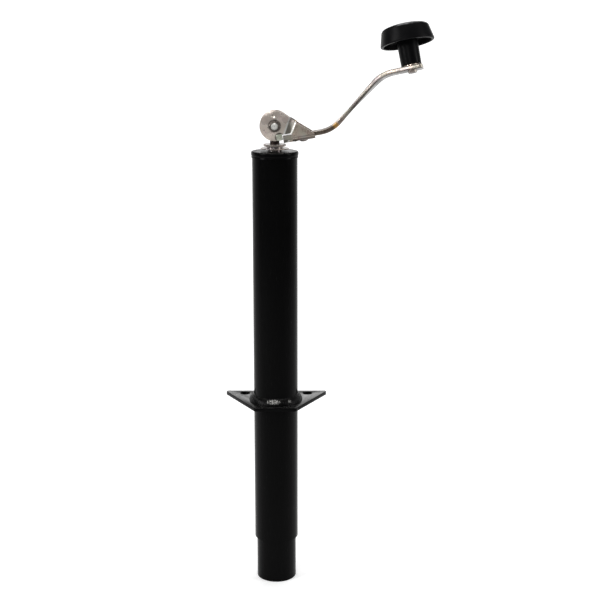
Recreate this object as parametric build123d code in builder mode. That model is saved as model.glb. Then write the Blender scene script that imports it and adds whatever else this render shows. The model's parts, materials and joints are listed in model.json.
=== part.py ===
"""A-frame trailer tongue jack: top-wind screw jack with a folding crank handle.

The origin is on the tube's axis at the underside of the mounting plate. +Z is up, the wide
side of the plate is towards +Y, and the crank points to +X. Lengths are in millimetres.
"""

import os
from math import cos, radians, sin, tan

from build123d import *

os.makedirs("parts", exist_ok=True)

# ---- Driving dimensions ----------------------------------------------------------------

# Outer tube, ram and foot
tube_od = 57.15
tube_wall = 2.3
tube_below = 185.7
tube_above = 325.9
ram_slip = 0.325
ram_wall = 3.2
ram_showing = 57.8
foot_thick = 4.0
foot_rounding = 1.2
travel = 355.6

# Mounting plate and its weld
plate_thick = 4.76
plate_back = 35.6
plate_front = 39.9
plate_back_half = 69.0
plate_front_half = 26.5
plate_corner = 3.2
plate_edge = 0.4
bolt_circle = 95.3
bolt_angle = 30.0
bolt_hole = 12.7
weld_rise = 8.5
weld_reach = 6.0
weld_bulge = 1.6

# Cap and bearing seat
cap_od = 59.6
cap_thick = 3.0
cap_skirt = 5.0
cap_rounding = 1.5
seat_thick = 8.0
seat_edge = 1.0

# Clearances
snug = 0.05
running = 0.1
loose = 0.3

# Bush, spacer and washer on the screw's neck
neck_d = 12.0
bush_hub_d = 16.0
bush_shoulder_d = 18.0
bush_shoulder = 2.4
bush_flange_d = 36.0
bush_flange = 1.2
spacer_d = 20.0
spacer_thick = 2.4
washer_d = 28.5
washer_thick = 2.4
washer_edge = 0.3
washer_seat_d = 10.0
tip_d = 8.0
tip_length = 13.0

# Thrust bearing and collar
journal_d = 15.0
race_d = 34.0
race_thick = 2.5
ball_d = 5.0
ball_circle = 24.5
ball_count = 10
cage_thick = 1.6
cage_width = 8.4
collar_d = 32.0
collar_length = 10.0
collar_edge = 0.8
collar_pin_d = 5.0

# Lead screw, drive nut and end collar
screw_d = 19.05
nut_gap = 4.85
nut_flange = 5.0
nut_body = 30.0
nut_edge = 1.0
nut_pin_d = 5.0
nut_pin_drop = 12.0
nut_pin_depth = 8.0
end_gap = 1.0
end_collar_d = 28.0
end_collar_length = 12.0
end_pin_d = 5.0
screw_chamfer = 1.5

# Guide key in the outer tube, and its groove in the ram
key_d = 5.0
key_above_end = 20.0
key_bite = 1.1
key_weld_d = 8.0
key_weld_proud = 0.6
groove_depth = 1.4

# Swivel head on the screw
pivot_rise = 31.6
eye_radius = 10.0
eye_thick = 11.0
head_pin_d = 3.0

# Pivot bolt and lock nut
bolt_d = 7.94
hex_flats = 12.7
hex_chamfer = 0.3
hex_chamfer_angle = 60.0
bolt_end = 0.8
nut_turn = 15.0
bolt_head = 5.3
nut_height = 6.4
nut_crown = 2.2
nut_crown_d = 11.2
insert_thick = 1.6
insert_wall = 0.9
bolt_proud = 1.5

# Crank bracket, in the crank's own side view
crank_tilt = 9.0
sheet = 3.0
disc_radius = 18.7
joggle_at = 16.2
joggle_run = 8.4
joggle_angle = 61.75
web_left = 19.4
web_right = 47.8
web_top_x = 27.7
web_top_y = -0.3
web_bend_x = 20.9
web_bend_y = 6.2
web_tip = 0.15
notch_left = 6.8
notch_above_bar = 4.85
join_above = 51.5
bend_outside = 4.0
dimple_at = 11.8
dimple_d = 5.0
dimple_depth = 0.9
dimple_taper = 40.0

# Stop pin
stop_radius = 15.45
stop_angle = -66.4
stop_pin_d = 4.0
stop_head = 7.8
stop_head_thick = 2.2
stop_head_corner = 1.2
stop_head_edge = 0.5
stop_rivet_d = 6.5
stop_rivet = 1.4
stop_rivet_taper = 20.0

# Crank bar
bar_width = 20.0
bar_thick = 5.2
bar_level = -17.05
bar_root = 8.0
bar_offset = 58.0
bar_corner = 68.4
bar_slope = 38.3
bar_bend = 40.0
bar_twist = 16.0
bar_end_rise = 2.5
knob_reach = 37.9
bar_overhang = 13.8
bar_end_rounding = 4.0

# Rivets that hold the bar in the bracket
rivet_x = 33.0
rivet_d = 6.0
rivet_head_d = 11.3
rivet_head = 2.8
rivet_taper = 25.0
rivet_tail_taper = 35.0
locator_x = 22.5
locator_d = 3.5
locator_head_d = 5.2
locator_head = 1.4

# Knob, its spindle and washer
spindle_d = 8.0
spindle_tail_d = 11.7
spindle_tail = 3.0
spindle_head_d = 13.0
spindle_head = 2.5
spindle_taper = 12.0
spindle_washer_d = 19.0
spindle_washer_thick = 1.6
stem_base_d = 25.2
stem_top_d = 26.2
stem_showing = 26.2
stem_in_head = 12.0
stem_edge = 0.6
knob_rim_d = 67.6
knob_crown_d = 58.0
knob_side = 20.3
knob_dome = 4.6
knob_skin = 4.0
knob_crown_edge = 5.0
knob_rim_edge = 1.6
knob_hollow = 9.0

# ---- Levels and radii worked out from them ----------------------------------------------

tube_radius = tube_od / 2
tube_bore = tube_radius - tube_wall
ram_radius = tube_bore - ram_slip
ram_bore = ram_radius - ram_wall
foot_level = -tube_below - ram_showing
tube_top = tube_above
cap_top = tube_top + cap_thick
seat_under = tube_top - seat_thick
bush_top = cap_top + bush_shoulder + bush_flange
spacer_under = bush_top + running
spacer_top = spacer_under + spacer_thick
washer_top = spacer_top + washer_thick
pivot_level = cap_top + pivot_rise
upper_race_under = seat_under - race_thick
ball_level = upper_race_under - ball_d / 2 - snug / 2
lower_race_top = ball_level - ball_d / 2 - snug / 2
collar_top = lower_race_top - race_thick
collar_under = collar_top - collar_length
nut_top = collar_under - nut_gap
ram_top = nut_top - nut_flange
nut_under = ram_top - nut_body
end_collar_top = nut_under - travel - end_gap
screw_end = end_collar_top - end_collar_length
key_level = -tube_below + key_above_end
groove_radius = ram_radius - groove_depth
nut_pin_level = ram_top - nut_pin_drop
collar_pin_level = (collar_top + collar_under) / 2
end_pin_level = end_collar_top - end_collar_length / 2
head_pin_level = washer_top + tip_length - 1.5 * head_pin_d


def rims(solid, radius):
    """The circular edges of that radius."""
    circles = solid.edges().filter_by(GeomType.CIRCLE)
    return circles.filter_by(lambda edge: abs(edge.radius - radius) < snug)


# ---- Outer tube, its guide key, the cap and the bearing seat ------------------------------

with BuildPart() as outer_tube:
    with BuildSketch(Plane.XY.offset(-tube_below)):
        Circle(tube_radius)
        Circle(tube_bore, mode=Mode.SUBTRACT)
    extrude(amount=tube_below + tube_above)
    with BuildSketch(Plane.XZ.offset(-tube_radius - tube_wall)):
        with Locations((0, key_level)):
            Circle(key_d / 2 + snug)
    extrude(amount=3 * tube_wall, mode=Mode.SUBTRACT)
outer_tube.part.label = "outer_tube"

key_profile = Plane(origin=(0, 0, key_level), x_dir=(0, 1, 0), z_dir=(1, 0, 0))
with BuildPart() as guide_key:
    with BuildSketch(key_profile):
        with BuildLine():
            Polyline(
                (ram_radius - key_bite, 0),
                (ram_radius - key_bite, key_d / 2),
                (tube_radius, key_d / 2),
                (tube_radius, key_weld_d / 2),
            )
            ThreePointArc(
                (tube_radius, key_weld_d / 2),
                (tube_radius + key_weld_proud * 0.8, key_weld_d / 4),
                (tube_radius + key_weld_proud, 0),
            )
            Line((tube_radius + key_weld_proud, 0), (ram_radius - key_bite, 0))
        make_face()
    revolve(axis=Axis((0, 0, key_level), (0, 1, 0)))
    with BuildSketch(Plane.XY.offset(key_level - key_weld_d)):
        Circle(tube_radius)
        Circle(tube_bore, mode=Mode.SUBTRACT)
        with Locations((0, tube_radius)):
            Circle(key_d / 2, mode=Mode.INTERSECT)
    extrude(amount=key_weld_d - key_d / 2, mode=Mode.SUBTRACT)
guide_key.part.label = "guide_key"

with BuildPart() as top_cap:
    with BuildSketch(Plane.XY.offset(tube_top - cap_skirt)):
        Circle(cap_od / 2)
    extrude(amount=cap_skirt + cap_thick)
    fillet(top_cap.edges().group_by(Axis.Z)[-1], cap_rounding)
    fillet(top_cap.edges().group_by(Axis.Z)[0], cap_rounding / 3)
    with BuildSketch(Plane.XY.offset(tube_top - cap_skirt)):
        Circle(tube_radius + snug)
    extrude(amount=cap_skirt, mode=Mode.SUBTRACT)
    with Locations((0, 0, cap_top)):
        Hole(bush_hub_d / 2 + snug)
top_cap.part.label = "top_cap"

with BuildPart() as bearing_seat:
    with BuildSketch(Plane.XY.offset(seat_under)):
        Circle(tube_bore - snug)
        Circle(bush_hub_d / 2 + snug, mode=Mode.SUBTRACT)
    extrude(amount=seat_thick)
    chamfer(rims(bearing_seat, tube_bore - snug).sort_by(Axis.Z)[0], seat_edge)
bearing_seat.part.label = "bearing_seat"

with BuildPart() as neck_bush:
    with BuildSketch(Plane.XY.offset(seat_under)):
        Circle(bush_hub_d / 2)
    extrude(amount=seat_thick + cap_thick)
    with BuildSketch(Plane.XY.offset(cap_top)):
        Circle(bush_shoulder_d / 2)
    extrude(amount=bush_shoulder)
    with BuildSketch(Plane.XY.offset(cap_top + bush_shoulder)):
        Circle(bush_flange_d / 2)
    extrude(amount=bush_flange)
    fillet(rims(neck_bush, bush_flange_d / 2), bush_flange / 4)
    with Locations((0, 0, bush_top)):
        Hole(neck_d / 2 + running)
neck_bush.part.label = "neck_bush"

# ---- Mounting plate and weld ---------------------------------------------------------------

with BuildPart() as mounting_plate:
    with BuildSketch(Plane.XY):
        with BuildLine():
            Polyline(
                (-plate_back_half, plate_back),
                (-plate_front_half, -plate_front),
                (plate_front_half, -plate_front),
                (plate_back_half, plate_back),
                close=True,
            )
        make_face()
        Circle(tube_radius + snug, mode=Mode.SUBTRACT)
        for angle in (bolt_angle, 180 - bolt_angle):
            with PolarLocations(bolt_circle / 2, 1, start_angle=angle):
                Circle(bolt_hole / 2, mode=Mode.SUBTRACT)
    extrude(amount=plate_thick)
    upright = mounting_plate.edges().filter_by(Axis.Z).filter_by(GeomType.LINE)
    fillet(upright.filter_by(lambda e: abs(e.center().X) > plate_front_half - 1), plate_corner)
    chamfer(mounting_plate.edges().group_by(Axis.Z)[-1].filter_by(GeomType.LINE), plate_edge)
mounting_plate.part.label = "mounting_plate"

weld_inner = tube_radius + snug
weld_profile = Plane(origin=(0, 0, plate_thick), x_dir=(1, 0, 0), z_dir=(0, -1, 0))
with BuildPart() as plate_weld:
    with BuildSketch(weld_profile):
        with BuildLine():
            Line((weld_inner, 0), (weld_inner + weld_reach, 0))
            ThreePointArc(
                (weld_inner + weld_reach, 0),
                (weld_inner + weld_reach / 2 + weld_bulge * 0.6, weld_rise / 2 + weld_bulge * 0.5),
                (weld_inner, weld_rise),
            )
            Line((weld_inner, weld_rise), (weld_inner, 0))
        make_face()
    revolve(axis=Axis.Z)
plate_weld.part.label = "plate_weld"

# ---- Ram: tube, foot plate, drive nut and its pins ------------------------------------------

ram_foot = foot_level + foot_thick
with BuildPart() as ram_tube:
    with BuildSketch(Plane.XY.offset(ram_foot)):
        Circle(ram_radius)
        Circle(ram_bore, mode=Mode.SUBTRACT)
    extrude(amount=ram_top - ram_foot)
    with BuildSketch(Plane.XY.offset(key_level - key_d)):
        with Locations((0, groove_radius + groove_depth)):
            Rectangle(key_d + 2 * loose, 2 * groove_depth)
    extrude(amount=ram_top - key_level + key_d, mode=Mode.SUBTRACT)
    with Locations((0, 0, nut_pin_level)):
        Cylinder(nut_pin_d / 2 + snug, 2 * tube_od, rotation=(0, 90, 0), mode=Mode.SUBTRACT)
ram_tube.part.label = "ram_tube"

with BuildPart() as foot_plate:
    with BuildSketch(Plane.XY.offset(foot_level)):
        Circle(ram_radius)
    extrude(amount=foot_thick)
    fillet(foot_plate.edges().group_by(Axis.Z)[0], foot_rounding)
foot_plate.part.label = "foot_plate"

with BuildPart() as drive_nut:
    with BuildSketch(Plane.XY.offset(nut_under)):
        Circle(ram_bore - running)
    extrude(amount=nut_body)
    with BuildSketch(Plane.XY.offset(ram_top)):
        Circle(ram_radius)
    extrude(amount=nut_flange)
    chamfer(drive_nut.edges().group_by(Axis.Z)[0], nut_edge)
    with Locations((0, 0, nut_top)):
        Hole(screw_d / 2 + snug)
    with Locations((0, 0, nut_pin_level)):
        Cylinder(nut_pin_d / 2 + snug, 2 * tube_od, rotation=(0, 90, 0), mode=Mode.SUBTRACT)
drive_nut.part.label = "drive_nut"

nut_pin_start = ram_radius - running - ram_wall - nut_pin_depth
with BuildPart() as nut_pins:
    with BuildSketch(Plane.YZ.offset(nut_pin_start)):
        with Locations((0, nut_pin_level)):
            Circle(nut_pin_d / 2)
    extrude(amount=ram_wall + nut_pin_depth)
    mirror(about=Plane.YZ)
nut_pins.part.label = "nut_pins"

# ---- Thrust bearing and collar ----------------------------------------------------------------


def race(level, bore):
    """A flat bearing race whose underside is at the given level."""
    with BuildPart() as ring:
        with BuildSketch(Plane.XY.offset(level)):
            Circle(race_d / 2)
            Circle(bore, mode=Mode.SUBTRACT)
        extrude(amount=race_thick)
        chamfer(rims(ring, race_d / 2).sort_by(Axis.Z)[0], race_thick / 5)
    return ring


upper_race = race(upper_race_under, journal_d / 2 + loose)
upper_race.part.label = "upper_race"
lower_race = race(collar_top, journal_d / 2 + snug)
lower_race.part.label = "lower_race"

with BuildPart() as bearing_balls:
    with Locations((0, 0, ball_level)):
        with PolarLocations(ball_circle / 2, ball_count):
            Sphere(ball_d / 2)
bearing_balls.part.label = "bearing_balls"

with BuildPart() as ball_cage:
    with BuildSketch(Plane.XY.offset(ball_level - cage_thick / 2)):
        Circle(ball_circle / 2 + cage_width / 2)
        Circle(ball_circle / 2 - cage_width / 2, mode=Mode.SUBTRACT)
        with PolarLocations(ball_circle / 2, ball_count):
            Circle(ball_d / 2 + running, mode=Mode.SUBTRACT)
    extrude(amount=cage_thick)
ball_cage.part.label = "ball_cage"

with BuildPart() as thrust_collar:
    with BuildSketch(Plane.XY.offset(collar_under)):
        Circle(collar_d / 2)
        Circle(journal_d / 2 + snug, mode=Mode.SUBTRACT)
    extrude(amount=collar_length)
    chamfer(rims(thrust_collar, collar_d / 2), collar_edge)
    with Locations((0, 0, collar_pin_level)):
        Cylinder(collar_pin_d / 2 + snug, 2 * collar_d, rotation=(0, 90, 0), mode=Mode.SUBTRACT)
thrust_collar.part.label = "thrust_collar"

# ---- Lead screw ---------------------------------------------------------------------------------

neck_under = seat_under - loose
with BuildPart() as lead_screw:
    with BuildSketch(Plane.XY.offset(screw_end)):
        Circle(screw_d / 2)
    extrude(amount=collar_under - screw_end)
    chamfer(lead_screw.edges().group_by(Axis.Z)[0], screw_chamfer)
    with BuildSketch(Plane.XY.offset(collar_under)):
        Circle(journal_d / 2)
    extrude(amount=neck_under - collar_under)
    with BuildSketch(Plane.XY.offset(neck_under)):
        Circle(neck_d / 2)
    extrude(amount=spacer_top - neck_under)
    with BuildSketch(Plane.XY.offset(spacer_top)):
        Circle(washer_seat_d / 2)
    extrude(amount=washer_thick)
    with BuildSketch(Plane.XY.offset(washer_top)):
        Circle(tip_d / 2)
    extrude(amount=tip_length)
    for pin_level, pin_d in ((collar_pin_level, collar_pin_d), (end_pin_level, end_pin_d)):
        with Locations((0, 0, pin_level)):
            Cylinder(pin_d / 2 + snug, 2 * screw_d, rotation=(0, 90, 0), mode=Mode.SUBTRACT)
    with Locations((0, 0, head_pin_level)):
        Cylinder(head_pin_d / 2 + snug, 2 * neck_d, rotation=(90, 0, 0), mode=Mode.SUBTRACT)
lead_screw.part.label = "lead_screw"


def roll_pin(level, pin_d, length, axis_plane):
    """A slotted spring pin across the screw, centred on its axis."""
    with BuildPart() as pin:
        with BuildSketch(axis_plane.offset(-length / 2)):
            with Locations((0, level)):
                Circle(pin_d / 2)
                Circle(pin_d / 4, mode=Mode.SUBTRACT)
                with Locations((0, pin_d / 4)):
                    Rectangle(pin_d / 8, pin_d, mode=Mode.SUBTRACT)
        extrude(amount=length)
    return pin


collar_pin = roll_pin(collar_pin_level, collar_pin_d, collar_d - 1, Plane.YZ)
collar_pin.part.label = "collar_pin"
end_pin = roll_pin(end_pin_level, end_pin_d, end_collar_d - 1, Plane.YZ)
end_pin.part.label = "end_pin"

with BuildPart() as end_collar:
    with BuildSketch(Plane.XY.offset(screw_end)):
        Circle(end_collar_d / 2)
        Circle(screw_d / 2 + snug, mode=Mode.SUBTRACT)
    extrude(amount=end_collar_length)
    with Locations((0, 0, end_pin_level)):
        Cylinder(end_pin_d / 2 + snug, 2 * end_collar_d, rotation=(0, 90, 0), mode=Mode.SUBTRACT)
end_collar.part.label = "end_collar"

with BuildPart() as neck_spacer:
    with BuildSketch(Plane.XY.offset(spacer_under)):
        Circle(spacer_d / 2)
        Circle(neck_d / 2 + snug, mode=Mode.SUBTRACT)
    extrude(amount=spacer_thick)
neck_spacer.part.label = "neck_spacer"

with BuildPart() as neck_washer:
    with BuildSketch(Plane.XY.offset(spacer_top)):
        Circle(washer_d / 2)
        Circle(washer_seat_d / 2 + snug, mode=Mode.SUBTRACT)
    extrude(amount=washer_thick)
    fillet(rims(neck_washer, washer_d / 2), washer_edge)
neck_washer.part.label = "neck_washer"

# ---- Swivel head -----------------------------------------------------------------------------------

stop_x = stop_radius * cos(radians(stop_angle))
stop_z = stop_radius * sin(radians(stop_angle))
stop_flat = stop_x - stop_pin_d / 2 - running
cheek_level = pivot_level - disc_radius - loose
head_side = Plane(origin=(0, 0, pivot_level), x_dir=(1, 0, 0), z_dir=(0, -1, 0))
with BuildPart() as swivel_head:
    with BuildSketch(Plane.XY.offset(washer_top)):
        Circle(neck_d / 2)
    extrude(amount=pivot_level - washer_top)
    with BuildSketch(Plane.XY.offset(cheek_level)):
        Rectangle(2 * neck_d, 2 * neck_d)
        Rectangle(2 * neck_d, eye_thick, mode=Mode.SUBTRACT)
    extrude(amount=pivot_level - cheek_level, mode=Mode.SUBTRACT)
    with BuildSketch(head_side):
        Circle(eye_radius)
    extrude(amount=eye_thick / 2, both=True)
    with BuildSketch(head_side):
        with Locations((stop_flat, stop_z)):
            Rectangle(neck_d, 2 * stop_pin_d, align=(Align.MIN, Align.CENTER))
        Circle(eye_radius, mode=Mode.SUBTRACT)
    extrude(amount=neck_d, both=True, mode=Mode.SUBTRACT)
    with BuildSketch(head_side):
        Circle(bolt_d / 2 + snug)
    extrude(amount=neck_d, both=True, mode=Mode.SUBTRACT)
    with BuildSketch(Plane.XY.offset(washer_top)):
        Circle(tip_d / 2 + snug)
    extrude(amount=tip_length + loose, mode=Mode.SUBTRACT)
    with Locations((0, 0, head_pin_level)):
        Cylinder(head_pin_d / 2 + snug, 2 * neck_d, rotation=(90, 0, 0), mode=Mode.SUBTRACT)
swivel_head.part.label = "swivel_head"

head_pin = roll_pin(head_pin_level, head_pin_d, eye_thick - running, Plane.XZ)
head_pin.part.label = "head_pin"

# ---- Crank: frames along the bar --------------------------------------------------------------------

# Seen from the side, crank_side has X along the bar's root and Y square to it, with the pivot
# at its origin. bar_end lies in the same way at the twisted outer end of the sloping part.
tilt = radians(crank_tilt)
crank_side = Plane(origin=(0, 0, pivot_level), x_dir=(cos(tilt), 0, sin(tilt)), z_dir=(0, -1, 0))
slope = radians(bar_slope)
bend_tangent = bar_bend * tan(slope / 2)
top_corner = bar_corner + bar_offset / tan(slope)
slope_start = (
    bar_corner + bend_tangent * cos(slope),
    bar_level + bend_tangent * sin(slope),
)
slope_end = (
    top_corner - bend_tangent * cos(slope),
    bar_level + bar_offset - bend_tangent * sin(slope),
)
slope_foot = crank_side.from_local_coords((*slope_start, 0))
slope_head = crank_side.from_local_coords((*slope_end, 0))
slope_dir = (slope_head - slope_foot).normalized()
slope_axis = Axis(slope_foot, slope_dir)
bar_end = Plane(
    origin=slope_head,
    x_dir=slope_dir,
    z_dir=crank_side.z_dir.rotate(slope_axis, -bar_twist),
)
end_turn = radians(bar_slope - bar_end_rise)
bend_end = (bar_bend * sin(end_turn), -bar_bend * (1 - cos(end_turn)))
stop_local = crank_side.to_local_coords(Vector(stop_x, 0, pivot_level + stop_z))
bar_seat = Plane(
    origin=crank_side.from_local_coords((0, bar_level - bar_thick / 2, 0)),
    x_dir=crank_side.x_dir,
    z_dir=crank_side.y_dir,
)
knob_run = knob_reach - bend_tangent
bar_straight = knob_run + bar_overhang
bar_tip = (
    bend_end[0] + bar_straight * cos(end_turn),
    bend_end[1] - bar_straight * sin(end_turn),
)


def on_bar_end(along, up):
    """The point that far past the upper bend along the bar, and that far above its middle."""
    return bar_end.from_local_coords(
        (
            bend_end[0] + along * cos(end_turn) + up * sin(end_turn),
            bend_end[1] - along * sin(end_turn) + up * cos(end_turn),
            0,
        )
    )


bar_along = (on_bar_end(1, 0) - on_bar_end(0, 0)).normalized()
knob_up = (on_bar_end(0, 1) - on_bar_end(0, 0)).normalized()
bar_top = Plane(origin=on_bar_end(knob_run, bar_thick / 2), x_dir=bar_along, z_dir=knob_up)
bar_under = Plane(origin=on_bar_end(knob_run, -bar_thick / 2), x_dir=bar_along, z_dir=-knob_up)
knob_profile = Plane(
    origin=bar_top.origin + knob_up * spindle_washer_thick,
    x_dir=bar_along,
    z_dir=bar_along.cross(knob_up),
)
knob_axis = Axis(bar_top.origin, knob_up)

# ---- Crank bar --------------------------------------------------------------

slope_start_plane = Plane(origin=slope_foot, x_dir=crank_side.z_dir, z_dir=slope_dir)
slope_end_plane = Plane(origin=bar_end.origin, x_dir=bar_end.z_dir, z_dir=slope_dir)
bend_start = bar_corner - bend_tangent
with BuildPart() as crank_bar:
    with BuildSketch(crank_side):
        with BuildLine():
            Line((bar_root, bar_level), (bend_start, bar_level))
            JernArc((bend_start, bar_level), (1, 0), bar_bend, bar_slope)
        trace(line_width=bar_thick)
    extrude(amount=bar_width / 2, both=True)
    with BuildSketch(slope_start_plane) as lower_section:
        Rectangle(bar_width, bar_thick)
    with BuildSketch(slope_end_plane) as upper_section:
        Rectangle(bar_width, bar_thick)
    loft([lower_section.sketch, upper_section.sketch], ruled=True)
    with BuildSketch(bar_end):
        with BuildLine():
            JernArc((0, 0), (1, 0), bar_bend, bar_end_rise - bar_slope)
            Line(bend_end, bar_tip)
        trace(line_width=bar_thick)
    extrude(amount=bar_width / 2, both=True)
    with BuildSketch(bar_top):
        Circle(spindle_d / 2 + snug)
    extrude(amount=-2 * bar_thick, mode=Mode.SUBTRACT)
    with BuildSketch(bar_seat):
        with Locations((rivet_x, 0)):
            Circle(rivet_d / 2 + snug)
        with Locations((locator_x, 0)):
            Circle(locator_d / 2 + snug)
    extrude(amount=2 * bar_thick, mode=Mode.SUBTRACT)
    end_corners = crank_bar.edges().filter_by(Axis((0, 0, 0), knob_up)).sort_by(Axis.X)[-2:]
    fillet(end_corners, bar_end_rounding)
crank_bar.part.label = "crank_bar"

# ---- Crank bracket ---------------------------------------------------------------------------

# Each side is one folded sheet: a flat disc beside the swivel head, a joggle outwards, and a
# flat web beside the bar. Its section runs along fold_across and the folds run along fold_along.
# The bar's root and the channel's floor end in a notch below the joggle.
cheek_in = eye_thick / 2 + loose
web_in = bar_width / 2 + loose
web_out = web_in + sheet
fold = radians(joggle_angle)
fold_along = crank_side.x_dir * cos(fold) + crank_side.y_dir * sin(fold)
fold_across = crank_side.x_dir * sin(fold) - crank_side.y_dir * cos(fold)
fold_start = crank_side.from_local_coords((joggle_at, 0, 0))
fold_section = Plane(origin=fold_start, x_dir=fold_across, z_dir=fold_across.cross(Vector(0, 1, 0)))
far = 2 * web_right
above = radians(join_above)
bar_under_level = bar_level - bar_thick / 2
floor_level = bar_under_level - sheet
notch_top = bar_level + notch_above_bar
floor_plane = Plane(
    origin=crank_side.from_local_coords((0, floor_level, 0)),
    x_dir=crank_side.x_dir,
    z_dir=crank_side.y_dir,
)
with BuildPart() as crank_bracket:
    with BuildSketch(fold_section):
        with BuildLine():
            Polyline(
                (-far, cheek_in),
                (0, cheek_in),
                (joggle_run, web_in),
                (far, web_in),
                (far, web_out),
                (joggle_run, web_out),
                (0, cheek_in + sheet),
                (-far, cheek_in + sheet),
                close=True,
            )
        make_face()
    extrude(amount=far, both=True)
    mirror(about=Plane.XZ)
    with BuildSketch(crank_side):
        Circle(disc_radius)
        with BuildLine():
            Polyline(
                (disc_radius * cos(above), disc_radius * sin(above)),
                (web_bend_x, web_bend_y),
                (web_top_x, web_top_y),
                (web_right, bar_level + web_tip),
                (web_right, floor_level),
                (web_left, floor_level),
                (web_left, notch_top),
                (notch_left, notch_top),
                close=True,
            )
        make_face()
        with Locations((notch_left, notch_top)):
            notch_size = (web_left - notch_left, disc_radius)
            Rectangle(*notch_size, align=(Align.MIN, Align.MAX), mode=Mode.SUBTRACT)
    extrude(amount=far, both=True, mode=Mode.INTERSECT)
    with BuildSketch(crank_side):
        with Locations((web_left, floor_level)):
            Rectangle(web_right - web_left, sheet, align=(Align.MIN, Align.MIN))
    extrude(amount=web_out, both=True)
    with BuildSketch(crank_side):
        with Locations((bar_root, floor_level)):
            Rectangle(web_left - bar_root, sheet, align=(Align.MIN, Align.MIN))
    extrude(amount=web_out - bend_outside, both=True)
    lower_edges = crank_bracket.edges().filter_by(Axis((0, 0, 0), crank_side.x_dir))
    outside = [
        e
        for e in lower_edges
        if abs(abs(e.center().Y) - web_out) < snug
        and abs(crank_side.to_local_coords(e.center()).Y - floor_level) < snug
    ]
    fillet(outside, bend_outside)
    with BuildSketch(crank_side):
        Circle(bolt_d / 2 + snug)
        with Locations((stop_local.X, stop_local.Y)):
            Circle(stop_pin_d / 2 + snug)
    extrude(amount=far, both=True, mode=Mode.SUBTRACT)
    with BuildSketch(floor_plane):
        with Locations((rivet_x, 0)):
            Circle(rivet_d / 2 + snug)
        with Locations((locator_x, 0)):
            Circle(locator_d / 2 + snug)
    extrude(amount=sheet, mode=Mode.SUBTRACT)
    dimple_plane = crank_side.offset(cheek_in + sheet)
    with BuildSketch(dimple_plane):
        with Locations((0, dimple_at)):
            Circle(dimple_d / 2)
    extrude(amount=-dimple_depth, taper=dimple_taper, mode=Mode.SUBTRACT)
crank_bracket.part.label = "crank_bracket"

# ---- Fasteners of the bracket ---------------------------------------------------------------

cheek_out = cheek_in + sheet
near_face = crank_side.offset(cheek_out)
far_face = Plane(
    origin=crank_side.origin + Vector(0, cheek_out, 0), x_dir=crank_side.x_dir, z_dir=(0, 1, 0)
)
bolt_reach = cheek_out + nut_height + nut_crown + bolt_proud
with BuildPart() as pivot_bolt:
    with BuildSketch(far_face):
        RegularPolygon(hex_flats / 2, 6, major_radius=False, rotation=2 * nut_turn)
    extrude(amount=bolt_head)
    with BuildSketch(far_face.offset(bolt_head)):
        Circle(hex_flats / 2 - hex_chamfer)
    extrude(amount=-bolt_head, taper=-hex_chamfer_angle, mode=Mode.INTERSECT)
    with BuildSketch(far_face):
        Circle(bolt_d / 2)
    extrude(amount=-cheek_out - bolt_reach)
    chamfer(pivot_bolt.edges().sort_by(Axis.Y)[0], bolt_end)
pivot_bolt.part.label = "pivot_bolt"

with BuildPart() as pivot_nut:
    with BuildSketch(near_face):
        RegularPolygon(hex_flats / 2, 6, major_radius=False, rotation=nut_turn)
    extrude(amount=nut_height)
    with BuildSketch(near_face.offset(nut_height)):
        Circle(hex_flats / 2 - hex_chamfer)
    extrude(amount=-nut_height, taper=-hex_chamfer_angle, mode=Mode.INTERSECT)
    with BuildSketch(near_face.offset(nut_height)):
        Circle(nut_crown_d / 2)
    extrude(amount=nut_crown)
    fillet(pivot_nut.edges().group_by(Axis.Y)[0], nut_crown / 3)
    with BuildSketch(near_face):
        Circle(bolt_d / 2 + snug)
    extrude(amount=nut_height + nut_crown, mode=Mode.SUBTRACT)
    with BuildSketch(near_face.offset(nut_height)):
        Circle(nut_crown_d / 2 - insert_wall)
    extrude(amount=insert_thick, mode=Mode.SUBTRACT)
pivot_nut.part.label = "pivot_nut"

with BuildPart() as nut_insert:
    with BuildSketch(near_face.offset(nut_height)):
        Circle(nut_crown_d / 2 - insert_wall - snug)
        Circle(bolt_d / 2 + snug / 2, mode=Mode.SUBTRACT)
    extrude(amount=insert_thick)
nut_insert.part.label = "nut_insert"

with BuildPart() as stop_pin:
    with BuildSketch(near_face):
        with Locations((stop_local.X, stop_local.Y)):
            RectangleRounded(stop_head, stop_head, stop_head_corner)
    extrude(amount=stop_head_thick)
    chamfer(stop_pin.edges().group_by(Axis.Y)[0], stop_head_edge)
    with BuildSketch(near_face):
        with Locations((stop_local.X, stop_local.Y)):
            Circle(stop_pin_d / 2)
    extrude(amount=-2 * cheek_out)
    with BuildSketch(far_face):
        with Locations((stop_local.X, -stop_local.Y)):
            Circle(stop_rivet_d / 2)
    extrude(amount=stop_rivet, taper=stop_rivet_taper)
stop_pin.part.label = "stop_pin"

with BuildPart() as bar_rivets:
    for x, shank_d, head_d, head in (
        (rivet_x, rivet_d, rivet_head_d, rivet_head),
        (locator_x, locator_d, locator_head_d, locator_head),
    ):
        with BuildSketch(floor_plane):
            with Locations((x, 0)):
                Circle(shank_d / 2)
        extrude(amount=sheet + bar_thick)
        with BuildSketch(floor_plane):
            with Locations((x, 0)):
                Circle(head_d / 2)
        extrude(amount=-head, taper=rivet_taper)
        with BuildSketch(floor_plane.offset(sheet + bar_thick)):
            with Locations((x, 0)):
                Circle(head_d / 2)
        extrude(amount=head, taper=rivet_tail_taper)
bar_rivets.part.label = "bar_rivets"

# ---- Knob: spindle, washer, stem and head -----------------------------------------------------

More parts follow.
